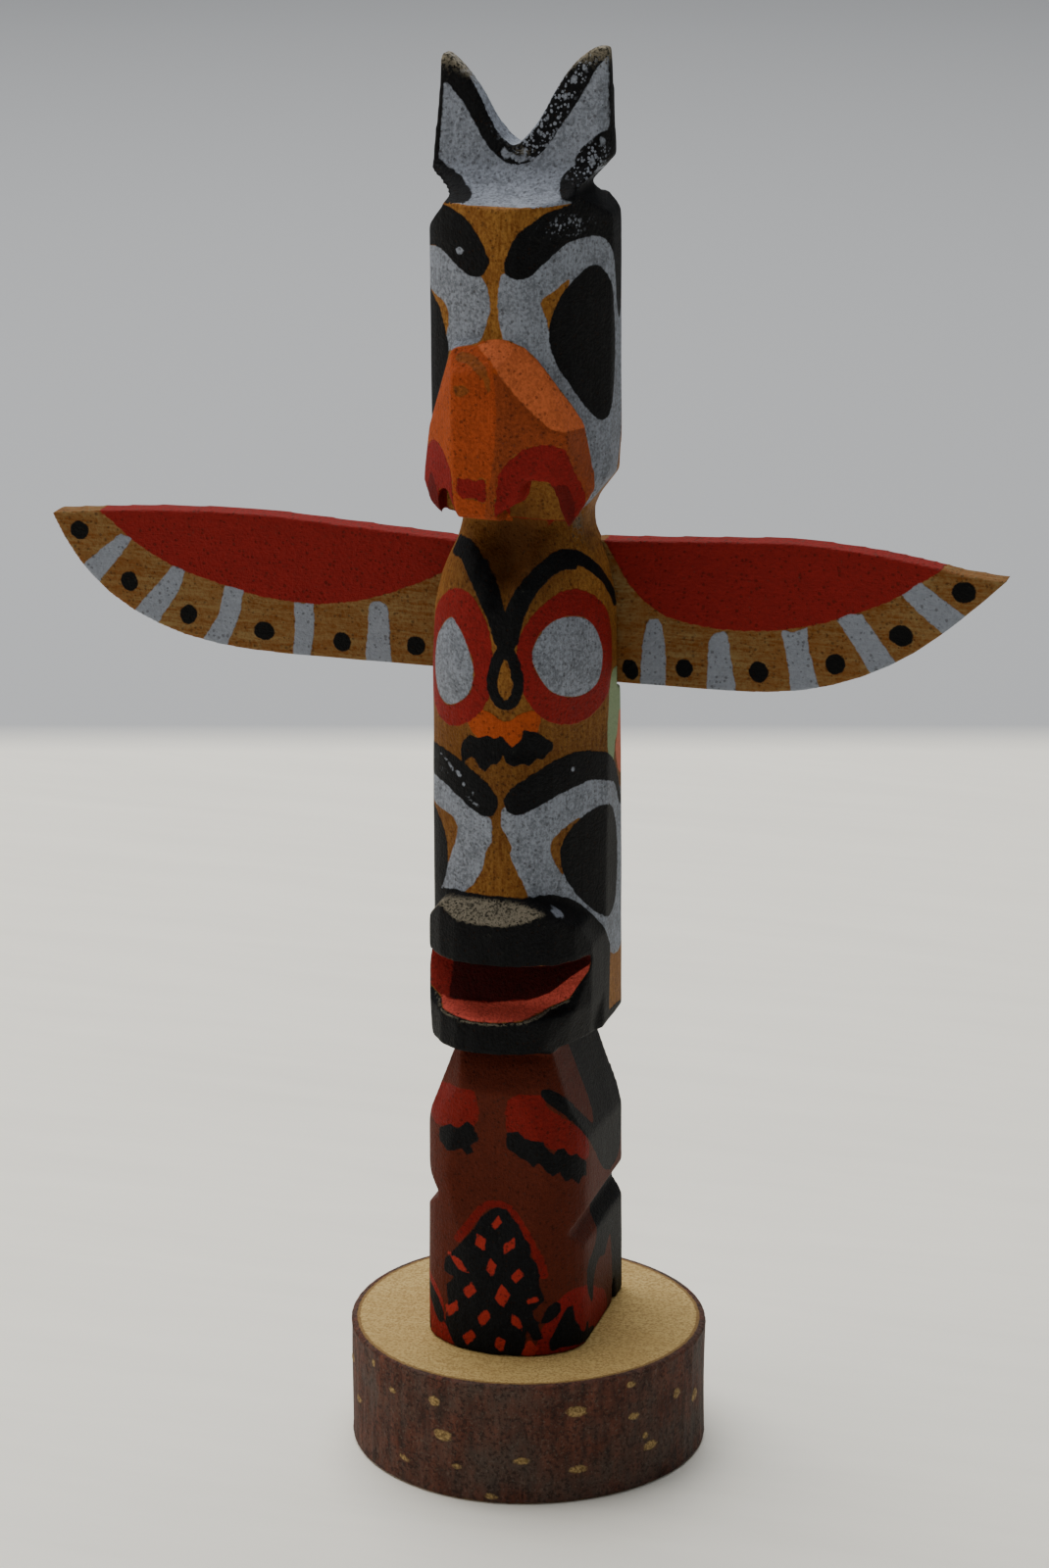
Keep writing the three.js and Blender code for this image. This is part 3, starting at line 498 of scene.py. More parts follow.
def smooth_line(points, closed, steps=5):
    """Points along a smooth curve through the given ones."""
    points = np.array(points, float)
    count = len(points)
    out = []
    for i in range(count if closed else count - 1):
        if closed:
            a, b, c, d = (points[(i + k) % count] for k in (-1, 0, 1, 2))
        else:
            a, b = points[max(i - 1, 0)], points[i]
            c, d = points[i + 1], points[min(i + 2, count - 1)]
        for s in np.linspace(0, 1, steps, endpoint=False):
            out.append(0.5 * (2 * b + (c - a) * s + (2 * a - 5 * b + 4 * c - d) * s * s
                              + (3 * b - a - 3 * c + d) * s ** 3))
    if not closed:
        out.append(points[-1])
    return np.array(out)


def distance_to(line, u, v, closed):
    """Distance from each point to a line of points, and whether it is enclosed."""
    best = np.full(u.shape, 1e9)
    enclosed = np.zeros(u.shape, bool)
    ends = np.roll(line, -1, axis=0) if closed else line[1:]
    for (au, av), (bu, bv) in zip(line, ends):
        du, dv = bu - au, bv - av
        t = np.clip(((u - au) * du + (v - av) * dv) / max(du * du + dv * dv, 1e-9), 0, 1)
        best = np.minimum(best, (u - au - t * du) ** 2 + (v - av - t * dv) ** 2)
        if closed and dv:
            crosses = ((av > v) != (bv > v)) & (u < au + (v - av) * du / dv)
            enclosed ^= crosses
    return np.sqrt(best), enclosed


def depth_inside(shape, u, v):
    """How far each point is inside one brush shape, in millimetres; negative outside."""
    kind = shape[0]
    if kind == "blob":
        (cu, cv), (a, b), turn = shape[1:]
        c, s = math.cos(math.radians(turn)), math.sin(math.radians(turn))
        x, y = (u - cu) * c + (v - cv) * s, (v - cv) * c - (u - cu) * s
        return (1 - np.hypot(x / a, y / b)) * min(a, b)
    if kind == "stroke":
        line = smooth_line(shape[2], False)
        return shape[1] / 2 - distance_to(line, u, v, False)[0]
    line = smooth_line(shape[1], True) if kind == "patch" else np.array(shape[1], float)
    away, enclosed = distance_to(line, u, v, True)
    return np.where(enclosed, away, -away)


def cover(shapes, u, v, margin=FAR):
    """How far each point is inside the nearest of several brush shapes."""
    best = np.full(u.shape, -margin)
    for shape in shapes:
        points = np.array([shape[1]] if shape[0] == "blob" else shape[-1], float)
        reach = margin + (max(shape[2]) if shape[0] == "blob" else 1.5)
        low, high = points.min(axis=0) - reach, points.max(axis=0) + reach
        near = (u > low[0]) & (u < high[0]) & (v > low[1]) & (v < high[1])
        if near.any():
            best[near] = np.maximum(best[near], depth_inside(shape, u[near], v[near]))
    return best


def diamond(spot):
    """The four corners of one diamond left between crossed brush lines."""
    (u, v), a, b, turn = spot
    c, s = math.cos(math.radians(turn)), math.sin(math.radians(turn))
    corners = ((a, 0.3 * b), (0, 1.3 * b), (-a, -0.3 * b), (0, -1.3 * b))
    return "cut", [(u + x * c + y * s, v + y * c - x * s) for x, y in corners]


# ---- small tools --------------------------------------------------------------------------------

def add(tree, kind, sockets=(), **settings):
    """One node with its settings; each socket is given a value or the socket that feeds it."""
    node = tree.nodes.new(kind)
    for name, value in settings.items():
        setattr(node, name, value)
    for key, value in dict(sockets).items():
        if isinstance(value, bpy.types.NodeSocket):
            tree.links.new(value, node.inputs[key])
        else:
            node.inputs[key].default_value = value
    return node


def show(name, mesh):
    """A new object for a mesh."""
    obj = bpy.data.objects.new(name, mesh)
    bpy.context.scene.collection.objects.link(obj)
    return obj


def carved_copy(node, name, voxel, softening):
    """A fine even copy of a solid with its knife edges a little rounded."""
    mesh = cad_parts[node].data.copy()
    bm = bmesh.new()
    bm.from_mesh(mesh)
    bmesh.ops.remove_doubles(bm, verts=bm.verts, dist=0.002 * MM)
    bm.to_mesh(mesh)
    bm.free()
    mesh.materials.clear()
    piece = show(name, mesh)
    remesh = piece.modifiers.new("Even surface", "REMESH")
    remesh.mode = "VOXEL"
    remesh.voxel_size = voxel
    remesh.use_smooth_shade = True
    graph = bpy.context.evaluated_depsgraph_get()
    fine = bpy.data.meshes.new_from_object(piece.evaluated_get(graph))
    piece.modifiers.clear()
    piece.data = fine
    bm = bmesh.new()
    bm.from_mesh(fine)
    for _ in range(softening):
        bmesh.ops.smooth_vert(bm, verts=bm.verts, factor=0.5, use_axis_x=True, use_axis_y=True,
                              use_axis_z=True)
    bm.to_mesh(fine)
    bm.free()
    return piece


def places(mesh):
    """Every point of a mesh, in millimetres."""
    flat = np.empty(len(mesh.vertices) * 3)
    mesh.vertices.foreach_get("co", flat)
    return flat.reshape(-1, 3) / MM


def carving_places(mesh):
    """Every point of a carved mesh where it was on the stick by itself, in millimetres."""
    return (places(mesh) - STANDS_AT) / (1, 1, DRAWN_OUT)


def normals(mesh):
    """The normal at every point of a mesh."""
    flat = np.empty(len(mesh.vertices) * 3)
    mesh.vertices.foreach_get("normal", flat)
    return flat.reshape(-1, 3)


def move_inwards(mesh, depths):
    """Sinks every point along its normal by its own depth in millimetres."""
    moved = (places(mesh) - normals(mesh) * np.asarray(depths)[:, None]) * MM
    mesh.vertices.foreach_set("co", moved.ravel())
    mesh.update()


def keep(mesh, name, values):
    """Stores one number for every point of a mesh."""
    layer = mesh.attributes.new(name, "FLOAT", "POINT")
    layer.data.foreach_set("value", np.asarray(values, np.float32))


def knife_waves(spots, scale, seed):
    """A smooth random number from 0 to 1 at each place, of a given size in x, y and z."""
    offset = Vector((seed, 2.3 * seed, 3.7 * seed))
    return np.array([
        0.5 + 0.5 * noise.noise(Vector((x / scale[0], y / scale[1], z / scale[2])) + offset)
        for x, y, z in spots
    ])


# ---- materials ----------------------------------------------------------------------------------

def speckle(tree, where, size_mm, radius):
    """Ragged specks of many sizes: 1 in the middle of each, 0 between them."""
    cells = add(tree, "ShaderNodeTexVoronoi", {
        "Vector": where, "Scale": 1 / (size_mm * MM), "Randomness": 1.0})
    chance = add(tree, "ShaderNodeSeparateColor", {0: cells.outputs["Color"]}).outputs[0]
    rough = streaks(tree, where, (0.4 * size_mm,) * 3, 2.0)
    size = sums(tree, "MULTIPLY", chance, radius)
    reach = sums(tree, "SUBTRACT", size, cells.outputs["Distance"])
    reach = sums(tree, "ADD", reach, centred(tree, rough, 0.5))
    return ramped(tree, reach, 0.0, 0.08)


def streaks(tree, where, size_mm, detail=3.0):
    """Noise drawn out to a given size in millimetres along x, y and z."""
    stretch = add(tree, "ShaderNodeMapping", {
        "Vector": where, "Scale": tuple(1 / (s * MM) for s in size_mm)})
    return add(tree, "ShaderNodeTexNoise", {
        "Vector": stretch.outputs[0], "Scale": 1.0, "Detail": detail, "Roughness": 0.6}
        ).outputs["Fac"]


def blend(tree, factor, first, second):
    """A colour between two."""
    node = add(tree, "ShaderNodeMix", {0: factor, 6: first, 7: second}, data_type="RGBA")
    return node.outputs[2]


def sums(tree, operation, first, second):
    """One step of arithmetic."""
    return add(tree, "ShaderNodeMath", {0: first, 1: second}, operation=operation).outputs[0]


def mixture(tree, *parts):
    """The sum of several values, each times its own share."""
    total = None
    for value, share in parts:
        part = sums(tree, "MULTIPLY", value, share)
        total = part if total is None else sums(tree, "ADD", total, part)
    return total


def centred(tree, value, size):
    """Noise from 0 to 1 turned into a swing of a given size about 0."""
    return sums(tree, "MULTIPLY", sums(tree, "SUBTRACT", value, 0.5), size)


def stored(tree, name):
    """The number kept under a name for every point of the mesh."""
    return add(tree, "ShaderNodeAttribute", attribute_name=name).outputs["Fac"]


def ramped(tree, value, low, high, start=0.0, end=1.0):
    """A value spread from one range onto another and held at its ends."""
    return add(tree, "ShaderNodeMapRange", {
        "Value": value, "From Min": low, "From Max": high, "To Min": start, "To Max": end}
        ).outputs[0]


def rgba(value):
    """A colour setting with full opacity."""
    return (*value, 1.0)


def opaque(hexed):
    """An sRGB hex colour with full opacity."""
    return rgba(linear(hexed))


def coat(name, tint, thin):
    """A layer of paint: its shape's name, its colour, and how dark it is where it is thin."""
    return name, tint, shade(tint, thin)


def shade(value, factor):
    """A colour made lighter or darker."""
    return (*(min(c * factor, 1) for c in value), 1.0)


def painted_softwood(name, paints, wood, grain, run, layers):
    """Yellow cedar whittled with a knife and brushed with thin matt poster paint: fine grain shows
    through as long pores and faint ridges, and the paint has ragged edges, specks and bare pits."""
    material = bpy.data.materials.new(name)
    material.use_nodes = True
    tree = material.node_tree
    tree.nodes.clear()
    where = add(tree, "ShaderNodeTexCoord").outputs["Object"]

    # Grain lines half a millimetre apart, and pores a fifth as long: sizes of slow softwood.
    def along(across, length):
        return tuple(length if axis == grain else across for axis in "xyz")

    lines = streaks(tree, where, along(0.55, run), 4.0)
    pores = streaks(tree, where, along(0.3, 0.2 * run), 2.0)
    clouds = streaks(tree, where, (6, 6, 10), 2.0)
    grit = streaks(tree, where, (0.4, 0.4, 0.4), 3.0)
    fibre = mixture(tree, (lines, 0.35), (pores, 0.3), (grit, 0.35))
    tone = ramped(tree, fibre, 0.4, 0.6)
    skin = blend(tree, tone, rgba(paints.grain), rgba(wood))
    skin = blend(tree, ramped(tree, clouds, 0.35, 0.7, 0.0, 0.45), skin, shade(paints.grain, 1.25))

    # Painted shade on the bare wood round the throat, under the beak, and the bare wood darker down
    # the noses.
    shade_and_darkening = stored(tree, "shade_and_darkening")
    skin = blend(tree, sums(tree, "MULTIPLY", shade_and_darkening, 0.9), skin, shade(paints.grain, 0.4))

    # Paint edges wander by a quarter of a millimetre, and the coat dries unevenly.
    ragged = streaks(tree, where, (0.9, 0.9, 0.9), 3.0)
    wander = centred(tree, ragged, 0.5)
    blotch = streaks(tree, where, (2.2, 2.2, 2.2), 4.0)
    brush = streaks(tree, where, along(0.3, 3.2), 2.0)
    pits = speckle(tree, where, 0.6, 0.36)
    uneven = mixture(tree, (grit, 0.65), (blotch, 0.35))
    thickness = None
    for layer, tint, under in layers:
        depth = stored(tree, layer)
        mask = ramped(tree, sums(tree, "ADD", depth, wander), -0.06, 0.08)
        coat = blend(tree, ramped(tree, brush, 0.3, 0.7, 0.0, 0.5), rgba(tint), under)
        coat = blend(tree, ramped(tree, uneven, 0.44, 0.58), coat, under)
        skin = blend(tree, mask, skin, coat)
        thickness = mask if thickness is None else sums(tree, "MAXIMUM", thickness, mask)
    skin = blend(tree, sums(tree, "MULTIPLY", pits, 0.4), skin, shade(paints.grain, 0.12))

    # Pale specks and scrapes where the black has chipped, and handled places rubbed to grey wood.
    chips = stored(tree, "chipped")
    flecks = speckle(tree, where, 0.4, 0.62)
    torn = ramped(tree, sums(tree, "ADD", chips, sums(tree, "SUBTRACT", blotch, 0.5)), 0.35, 0.75)
    skin = blend(tree, sums(tree, "MULTIPLY", flecks, torn), skin, shade(paints.pale, 0.75))
    wear = stored(tree, "worn")
    scuffed = sums(tree, "ADD", wear, centred(tree, grit, 2.4))
    rubbed = blend(tree, ramped(tree, grit, 0.4, 0.62), opaque("#948b78"),
                   opaque("#37342b"))
    skin = blend(tree, ramped(tree, scuffed, 0.4, 0.75, 0.0, 0.9), skin, rubbed)

    height = mixture(tree, (lines, 0.07), (pores, 0.06), (thickness, 0.06), (grit, 0.22),
                     (brush, 0.06), (pits, -0.1))
    bump = add(tree, "ShaderNodeBump", {"Height": height, "Distance": MM, "Strength": 1.0})
    surface = add(tree, "ShaderNodeBsdfPrincipled", {
        "Base Color": skin, "Roughness": 0.62, "IOR": 1.45, "Specular IOR Level": 0.1,
        "Normal": bump.outputs[0]})
    add(tree, "ShaderNodeOutputMaterial", {"Surface": surface.outputs[0]})
    return material


def sawn_branch(name):
    """A thin branch of a cherry-like wood, sawn across: chalky tan end grain with shallow saw
    marks, and smooth thin dark bark with long breathing pores across it."""
    material = bpy.data.materials.new(name)
    material.use_nodes = True
    tree = material.node_tree
    tree.nodes.clear()
    where = add(tree, "ShaderNodeTexCoord").outputs["Object"]

    saw = streaks(tree, where, (5, 0.45, 3), 3.0)
    dust = streaks(tree, where, (0.35, 0.35, 0.35), 3.0)
    cloud = streaks(tree, where, (9, 9, 9), 2.0)
    end = blend(tree, ramped(tree, saw, 0.3, 0.7), opaque("#b2955b"), opaque("#c2a76c"))
    end = blend(tree, ramped(tree, dust, 0.46, 0.6, 0.0, 0.8), end, opaque("#8d7040"))
    end = blend(tree, ramped(tree, cloud, 0.35, 0.7, 0.0, 0.35), end, opaque("#a0824b"))

    furrow = streaks(tree, where, (1.1, 1.1, 4), 5.0)
    patch = streaks(tree, where, (7, 7, 8), 4.0)
    scale = streaks(tree, where, (0.5, 0.5, 0.5), 3.0)
    bark = blend(tree, ramped(tree, furrow, 0.3, 0.7), opaque("#2d1710"), opaque("#633829"))
    bark = blend(tree, ramped(tree, patch, 0.42, 0.66, 0.0, 0.75), bark, opaque("#453d36"))
    bark = blend(tree, ramped(tree, scale, 0.5, 0.62, 0.0, 0.7), bark, opaque("#1c100b"))
    bark = blend(tree, ramped(tree, dust, 0.56, 0.66, 0.0, 0.4), bark, opaque("#65594e"))
    pore = stored(tree, "pore")
    ragged = centred(tree, scale, 0.5)
    pored = ramped(tree, sums(tree, "ADD", pore, ragged), -0.05, 0.15)
    cork = blend(tree, ramped(tree, dust, 0.4, 0.65), opaque("#66502f"), opaque("#a58a58"))
    bark = blend(tree, pored, bark, cork)

    rind = stored(tree, "bark")
    barked = ramped(tree, sums(tree, "ADD", rind, sums(tree, "MULTIPLY", ragged, 0.6)), -0.05, 0.1)
    ring = ramped(tree, sums(tree, "ADD", rind, ragged), -0.45, -0.3, 0.0, 0.8)
    skin = blend(tree, barked, blend(tree, ring, end, opaque("#6d4f2a")), bark)

    rough = mixture(tree, (furrow, 0.25), (scale, 0.12))
    flat = mixture(tree, (saw, 0.12), (dust, 0.14))
    height = add(tree, "ShaderNodeMix", {0: barked, 2: flat, 3: rough}, data_type="FLOAT")
    bump = add(tree, "ShaderNodeBump", {
        "Height": height.outputs[0], "Distance": MM, "Strength": 1.0})
    surface = add(tree, "ShaderNodeBsdfPrincipled", {
        "Base Color": skin, "Roughness": 0.75, "IOR": 1.45, "Specular IOR Level": 0.25,
        "Normal": bump.outputs[0]})
    add(tree, "ShaderNodeOutputMaterial", {"Surface": surface.outputs[0]})
    return material


# ---- the pieces ---------------------------------------------------------------------------------

class TOTEM_OT_pole(bpy.types.Operator):
    """Carves and paints the pole"""
    bl_idname = "totem.pole"
    bl_label = "Pole"

    def execute(self, context):
        paints, carving = context.scene.totem_paints, context.scene.totem_carving
        piece = carved_copy("pole", "carved_pole", carving.voxel, carving.softening)
        mesh = piece.data
        spots = places(mesh)
        waves = knife_waves(spots, (3.2, 3.2, 7), 5)
        move_inwards(mesh, waves * carving.waviness / MM)

        x, y, z = carving_places(mesh).T
        u = WRAP_RADIUS * np.arctan2(x, WRAP_MIDDLE - y)
        ear = z > EARS_FROM
        u = np.where(ear, x, u)
        facing = normals(mesh)
        back = np.clip((facing[:, 1] - 0.55) * 12, -FAR, FAR)
        back = np.where(z < EARS_FROM - 1, back, -FAR)

        def on(name, *groups):
            shapes = [shape for group in groups for shape in group.get(name, ())]
            return cover(shapes, u, z)

        lips = self.lips(z, u)
        mouth = self.mouth(x, y, z, facing)
        fold = z - np.interp(x, *THROAT)
        beak = on("orange", HEAD)
        tail = cover(BEAVER["tail"], u, z)
        holes = cover([diamond(spot) for spot in BEAVER["diamonds"]], u, z)
        arch = np.minimum(cover(ARCHES, x, z) + 0.05, (-0.7 - facing[:, 1]) * 3)
        arch = np.where((z > ARCH_FOOT) & (z < ARCH_TOP) & (y < 0), arch, -FAR)

        brown = np.where(z < BEAVER_TOP, FAR, -FAR)
        pale = on("pale", HEAD, ROUND_EYED, HEAVY_BROWED)
        pale = np.minimum(pale, -on("pale off", HEAD, HEAVY_BROWED))
        pale = np.where(ear, FAR, np.minimum(pale, -beak))
        red = np.minimum(on("red", HEAD, ROUND_EYED, BEAVER), -on("red off", ROUND_EYED))
        red = np.minimum(red, -arch)
        orange = np.maximum(beak, on("orange", ROUND_EYED))
        orange = np.minimum(orange, -np.maximum(on("red", HEAD), arch))
        ember = np.maximum(on("orange", BEAVER), on("rim", BEAVER))
        black = np.maximum.reduce([
            on("black", HEAD, ROUND_EYED, HEAVY_BROWED, BEAVER), on("squiggle", HEAVY_BROWED),
            np.minimum(lips, -mouth), np.minimum(tail, -holes)])
        front = np.clip((-0.4 - facing[:, 1]) * 4, -FAR, FAR)
        front = np.where((np.abs(x) > EAR_EDGE) | (z < EAR_NOTCH), FAR, front)
        black = np.where(ear, np.minimum(cover(EARS["black"], x, z), front), black)
        chip = np.where(ear, np.minimum(cover(EARS["chip"], x, z), front),
                        on("chip", HEAD, HEAVY_BROWED))

        # The beak's facets: each gets its own orange as painted light and shade, for how it faces
        # the light; the dirt on the ridge is real.
        facets = {name: np.minimum(on(name, HEAD), orange)
                  for name in ("outer", "under", "upper", "ridge", "dirt")}
        brushed = {
            **facets, "brown": brown, "pale": pale, "red": red, "orange": orange, "ember": ember,
            "diamonds": holes + 0.25, "green": on("green", ROUND_EYED),
            "rose": on("rose", ROUND_EYED), "black": black, "chip": chip, "mouth": mouth,
            # Painted shade: the darker red under the beak.
            "shaded red": np.minimum(on("shaded red", HEAD), -arch),
            # Painted light and shadow in the mouth: a brighter red on the floor in front of the
            # fold, where light reaches, and a near-black red behind it, in the upper lip's shadow.
            "lip": np.minimum(mouth, -fold),
            "throat": np.minimum.reduce([mouth, fold, (x + 7.2) * 0.5]),
        }
        for name, values in brushed.items():
            keep(mesh, name, np.minimum(values, -back))
        keep(mesh, "worn", self.wear(x, z, u, facing))
        keep(mesh, "chipped", self.chips(x, z, u, ear))
        # Painted shade under the beak, and darker bare wood down the noses.
        keep(mesh, "shade_and_darkening", self.shade_and_darkening(z, u))

        mesh.materials.append(painted_softwood(
            "Brushed poster paint on whittled cedar", paints, paints.wood, "z", 3.5, (
                coat("brown", paints.brown, 0.75),
                coat("green", paints.green, 0.9),
                coat("rose", linear("#b8664c"), 0.9),
                coat("pale", paints.pale, 0.5),
                coat("orange", paints.orange, 0.72),
                # Painted light and shade on the beak: one orange per facet, lighter on the upper
                # facet, darker on the outer and under facets; the dirt is real.
                *(coat(name, linear(tint), 0.66) for name, tint in (
                    ("outer", "#914624"), ("under", "#8d4020"), ("upper", "#cb693d"),
                    ("ridge", "#a3461e"), ("dirt", "#87491f"))),
                coat("red", paints.red, 0.7),
                # Painted shade: darker red under the beak.
                ("shaded red", shade(paints.red, 0.5)[:3], shade(paints.red, 0.4)),
                coat("mouth", linear("#7a1d17"), 0.7),
                # Painted light on the mouth's floor in front of the fold, and painted shadow of the
                # upper lip behind it.
                coat("lip", linear("#ce5446"), 0.65),
                ("throat", shade(paints.red, 0.2)[:3], shade(paints.red, 0.12)),
                coat("ember", linear("#75170e"), 0.7),
                coat("diamonds", linear("#9a2a1f"), 0.8),
                ("black", paints.black, opaque("#101113")),
                coat("chip", paints.pale, 0.6),
            )))
        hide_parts("pole")
        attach(piece, "root")
        return {"FINISHED"}

    def lips(self, z, u):
        """The thick lips are black all round, down to the underside of the jaw."""
        right, left = np.clip(u - 4.5, 0, None), np.clip(-5 - u, 0, None)
        top = LIPS_TOP - 0.0485 * right ** 2 - 0.06 * left ** 2
        return np.minimum.reduce([top - z, z - JAW_UNDERSIDE, 18.6 - u, 20.6 + u])

    def mouth(self, x, y, z, facing):
        """The cut of the mouth is red inside: its floor, its back and its roof."""
        line = np.array(MOUTH_FLOOR)
        floor = 0.6 - distance_to(line, y, z, False)[0]
        inwards = np.where(y < -11, 2 * facing[:, 2] - 0.5, 2 * (0.7 - np.abs(facing[:, 0])))
        roof = np.minimum(0.5 - np.abs(z - MOUTH_ROOF), -facing[:, 2] - 0.5)
        roof = np.where((y > -13.6) & (y < -5.5), roof, -FAR)
        return np.minimum(np.maximum(np.minimum(floor, inwards), roof), z - np.interp(x, *LIP_EDGE))

    def wear(self, x, z, u, facing):
        """Paint is rubbed off the tips of the ears, in their V and on top of the upper lip."""
        tips = np.clip((z - np.where(x < 0, 174.2, 175.4)) / 3, 0, 0.7)
        rim = np.clip((z - 172) / 4, 0, 0.6) * np.clip(facing[:, 2] * 2, 0, 1)
        fork = 0.6 * np.exp(-((x - 0.4) / 1.8) ** 2 - ((z - 166.1) / 0.8) ** 2)
        shelf = 0.85 * np.clip(cover([SHELF], u, z) * 1.5 + 0.6, 0, 1)
        shelf *= np.clip((facing[:, 2] - 0.1) * 3, 0, 1)
        edge = 0.75 * np.exp(-((z - np.interp(x, *LIP_EDGE) + 0.25) / 0.22) ** 2) * (np.abs(x) < 9)
        edge *= (z < 64.5) & (facing[:, 1] < 0)
        torn = 0.7 * np.exp(-((u - 15) / 3) ** 2 - ((z - 122) / 3) ** 2)
        return np.clip(tips + rim + fork + shelf + edge + torn, 0, 1)

    def chips(self, x, z, u, ear):
        """Where the black is chipped most: the right ear's band, the V and the right brow."""
        band = np.exp(-((x - 0.55 * (z - 164)) / 2.2) ** 2) * (z > 164) * (x > -1.5)
        left = 0.45 * np.exp(-((x + 0.62 * (z - 164.5)) / 1.8) ** 2) * (z > 166)
        nick = np.exp(-((x - 8) / 3) ** 2 - ((z - 165.5) / 3) ** 2)
        brow = 0.8 * np.exp(-((u - 9) / 4.5) ** 2 - ((z - 158.4) / 1.6) ** 2)
        left_brow = 0.5 * np.exp(-((u + 8) / 3.5) ** 2 - ((z - 91.6) / 1.6) ** 2)
        return np.where(ear, np.maximum.reduce([band, left, nick]), np.maximum(brow, left_brow))

    def shade_and_darkening(self, z, u):
        """Painted shade on the bare wood round the throat, under the beak, and the bare wood darker
        down the noses.
        """
        throat = 1.2 * np.exp(-((z - 119) / 7) ** 2) * np.exp(-((u - 1) / 8) ** 2)
        nose = 0.6 * np.exp(-((z - 90) / 13) ** 2)
        return np.clip(throat + nose, 0, 1)


class TOTEM_OT_wings(bpy.types.Operator):
    """Carves and paints the wing board"""
    bl_idname = "totem.wings"
    bl_label = "Wings"

    def execute(self, context):
        paints, carving = context.scene.totem_paints, context.scene.totem_carving
        piece = carved_copy("wings", "wing_board", 0.8 * carving.voxel, 1)
        mesh = piece.data
        move_inwards(mesh, knife_waves(places(mesh), (6, 3, 2.4), 9) * carving.waviness / MM)
        x, y, z = carving_places(mesh).T
        facing = normals(mesh)
        behind = np.clip((facing[:, 1] - 0.4) * 8, -FAR, FAR)
        for name in ("red", "pale", "black"):
            keep(mesh, name, np.minimum(cover(WINGS[name], x, z), -behind))
        keep(mesh, "worn", np.clip(facing[:, 2] - 0.6, 0, 0.25))
        mesh.materials.append(painted_softwood(
            "Brushed poster paint on a cedar board", paints, paints.board, "x", 9, (
                ("red", shade(paints.red, 0.9)[:3], shade(paints.red, 0.75)),
                ("pale", shade(paints.pale, 0.85)[:3], shade(paints.pale, 0.7)),
                ("black", paints.black, opaque("#050607")),
            )))
        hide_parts("wings")
        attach(piece, "root")
        return {"FINISHED"}


class TOTEM_OT_base(bpy.types.Operator):
    """Gives the slice of branch its bark and sawn faces"""
    bl_idname = "totem.base"
    bl_label = "Branch slice"

    def execute(self, context):
        carving = context.scene.totem_carving
        piece = carved_copy("base", "branch_slice", carving.voxel, 2)
        mesh = piece.data
        spots = places(mesh)
        x, y, z = spots.T
        radius = np.hypot(x, y)
        turn = np.arctan2(y, x)
        facing = normals(mesh)
        side = np.clip(1 - np.abs(facing[:, 2]) * 1.4, 0, 1)

        rng = random.Random(7)
        pores = [("blob", spot, size, rng.uniform(-8, 8)) for spot, size in BARK_PORES]
        for _ in range(20):
            pores.append(("blob", (rng.uniform(3, 62), rng.uniform(1.5, 14.5)),
                          (rng.uniform(0.6, 1.35), rng.uniform(0.35, 0.65)), rng.uniform(-12, 12)))
        pore = cover(pores, turn * BARK_WRAP, z)
        furrows = (knife_waves(spots, (1.6, 1.6, 12), 3) * 0.3
                   + knife_waves(spots, (5, 5, 9), 8) * 0.35)
        sunk = (furrows - 0.12 * np.clip(pore * 3, 0, 1)) * side
        move_inwards(mesh, np.clip(sunk, 0, None))

        rim = RIM_RADIUS + 0.45 * np.cos(2 * turn - 0.3) + 0.22 * np.sin(3 * turn + 1.1)
        rind = np.where(np.abs(facing[:, 2]) > 0.8, radius - (rim - BARK_THICK), FAR)
        rind = np.where(z < 0.5, z - 0.2, rind)
        keep(mesh, "bark", np.clip(rind, -FAR, FAR))
        keep(mesh, "pore", np.where(side > 0.3, pore, -FAR))
        mesh.materials.append(sawn_branch("Sawn branch with its bark on"))
        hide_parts("base")
        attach(piece, "root")
        return {"FINISHED"}


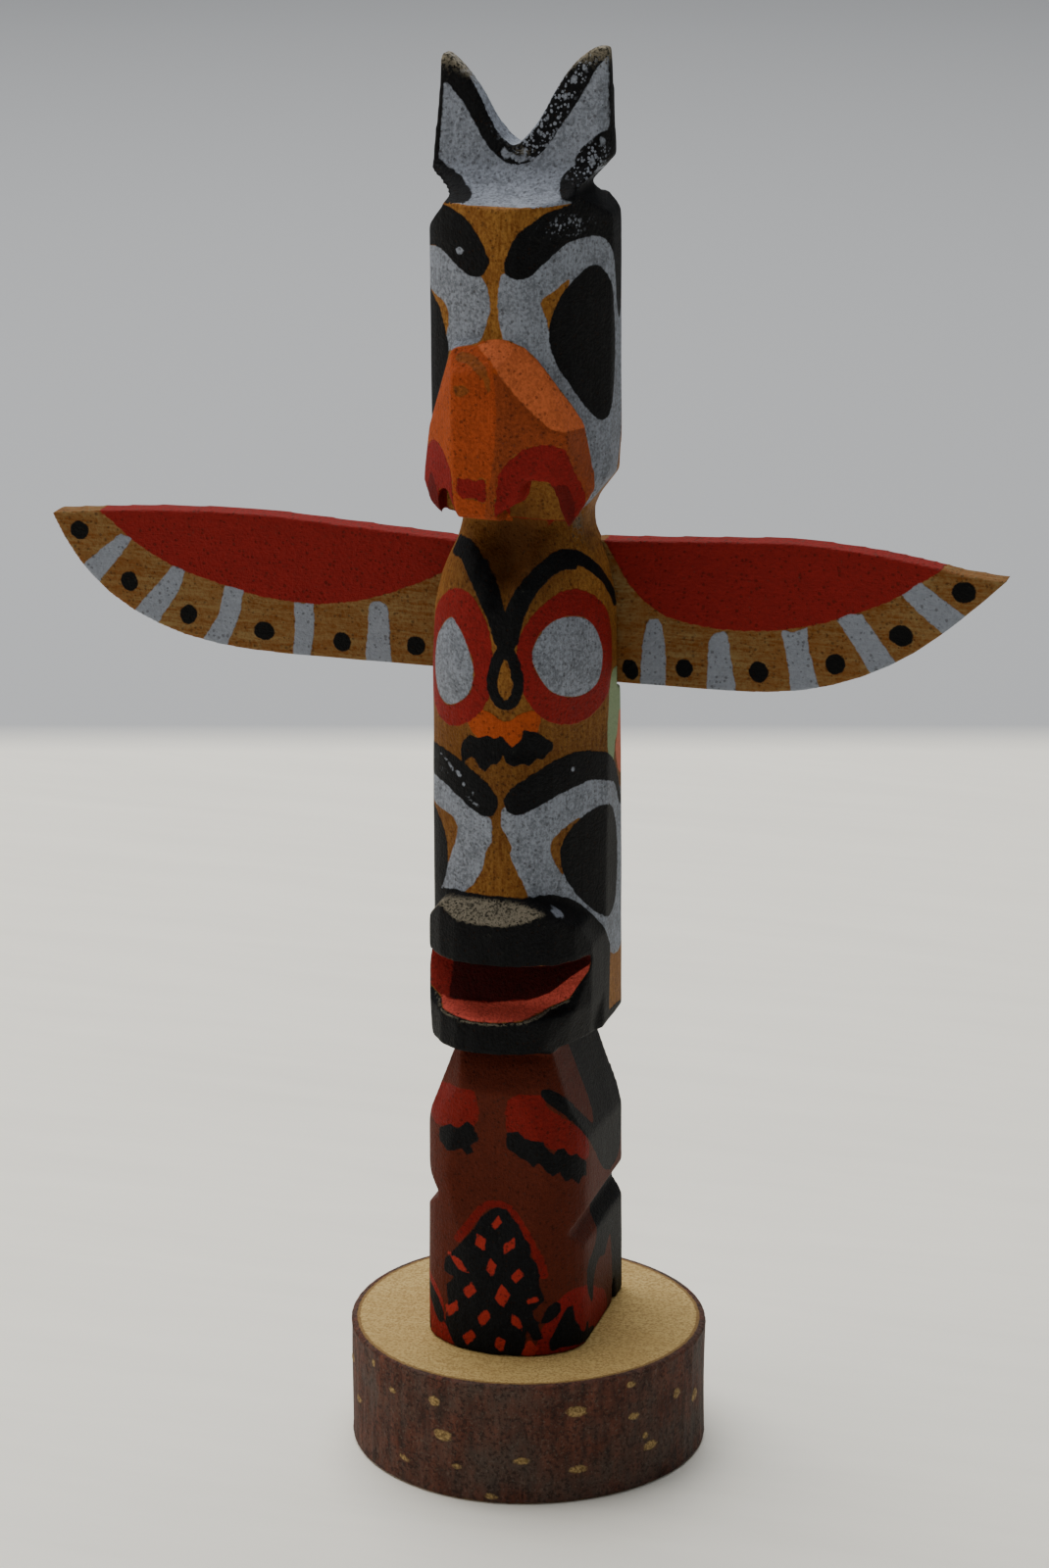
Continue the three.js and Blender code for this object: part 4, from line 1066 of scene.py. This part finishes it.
class TOTEM_OT_stage(bpy.types.Operator):
    """Sets the table, the lights and the camera"""
    bl_idname = "totem.stage"
    bl_label = "Stage"

    def execute(self, context):
        stage = context.scene.totem_stage
        bm = bmesh.new()
        bmesh.ops.create_grid(bm, x_segments=2, y_segments=2, size=4.0)
        mesh = bpy.data.meshes.new("table_top")
        bm.to_mesh(mesh)
        bm.free()
        floor = show("table_top", mesh)
        mesh.materials.append(self.table(stage))

        self.lamp("overhead", (-0.4, 0.45, 1.5), 1.5, stage.key, (1.0, 0.99, 0.97))
        self.lamp("front", (0.24, -0.83, 1.09), 0.2, stage.fill, (0.95, 0.98, 1.0))
        self.lamp("side", (-0.95, -0.45, 0.4), 0.9, stage.side, (1.0, 0.9, 0.78))
        world = bpy.data.worlds.new("Room")
        world.use_nodes = True
        backdrop = world.node_tree.nodes["Background"]
        backdrop.inputs["Color"].default_value = (0.86, 0.9, 0.96, 1)
        backdrop.inputs["Strength"].default_value = stage.sky
        context.scene.world = world

        lens = bpy.data.cameras.new("camera")
        lens.lens = stage.lens
        lens.sensor_width = 36
        camera = bpy.data.objects.new("camera", lens)
        camera.location = CAMERA_PLACE
        camera.rotation_euler = (math.radians(CAMERA_TIP), 0, math.radians(CAMERA_TURN))
        context.scene.collection.objects.link(camera)
        context.scene.camera = camera
        return {"FINISHED"}

    def table(self, stage):
        """A matt pale board that turns greyer towards its far side."""
        material = bpy.data.materials.new("Matt pale board")
        material.use_nodes = True
        tree = material.node_tree
        tree.nodes.clear()
        where = add(tree, "ShaderNodeTexCoord").outputs["Object"]
        turned = add(tree, "ShaderNodeMapping", {
            "Vector": where, "Rotation": (0, 0, math.radians(-CAMERA_TURN))}).outputs[0]
        away = add(tree, "ShaderNodeSeparateXYZ", {0: turned}).outputs[1]
        cloud = streaks(tree, where, (60, 8, 60), 3.0)
        near = blend(tree, ramped(tree, cloud, 0.3, 0.7), rgba(stage.floor),
                     shade(stage.floor, 0.95))
        tint = blend(tree, ramped(tree, away, GREY_FROM, GREY_BY), near, rgba(stage.wall))
        surface = add(tree, "ShaderNodeBsdfPrincipled", {"Base Color": tint, "Roughness": 0.8})
        add(tree, "ShaderNodeOutputMaterial", {"Surface": surface.outputs[0]})
        return material

    def lamp(self, name, place, size, power, tint):
        """A large soft square light aimed at the middle of the pole."""
        light = bpy.data.lights.new(name, "AREA")
        light.size = size
        light.energy = power
        light.color = tint
        lamp = bpy.data.objects.new(name, light)
        lamp.location = place
        aim = Vector(LIGHTS_AIM) - Vector(place)
        lamp.rotation_euler = aim.to_track_quat("-Z", "Y").to_euler()
        bpy.context.scene.collection.objects.link(lamp)


class TOTEM_PT_panel(bpy.types.Panel):
    """Lists the pieces"""
    bl_label = "Totem pole"
    bl_idname = "TOTEM_PT_panel"
    bl_space_type = "VIEW_3D"
    bl_region_type = "UI"
    bl_category = "Totem"

    def draw(self, context):
        column = self.layout.column()
        for operator in OPERATORS:
            column.operator(operator.bl_idname)


GROUPS = {"totem_paints": TotemPaints, "totem_carving": TotemCarving, "totem_stage": TotemStage}
OPERATORS = (TOTEM_OT_pole, TOTEM_OT_wings, TOTEM_OT_base, TOTEM_OT_stage)
CLASSES = (*GROUPS.values(), *OPERATORS, TOTEM_PT_panel)


def register():
    for kind in CLASSES:
        bpy.utils.register_class(kind)
    for name, group in GROUPS.items():
        setattr(bpy.types.Scene, name, bpy.props.PointerProperty(type=group))


def unregister():
    for name in GROUPS:
        delattr(bpy.types.Scene, name)
    for kind in reversed(CLASSES):
        bpy.utils.unregister_class(kind)


def main():
    register()
    bpy.ops.totem.pole()
    bpy.ops.totem.wings()
    bpy.ops.totem.base()
    bpy.ops.totem.stage()


if __name__ == "__main__":
    main()
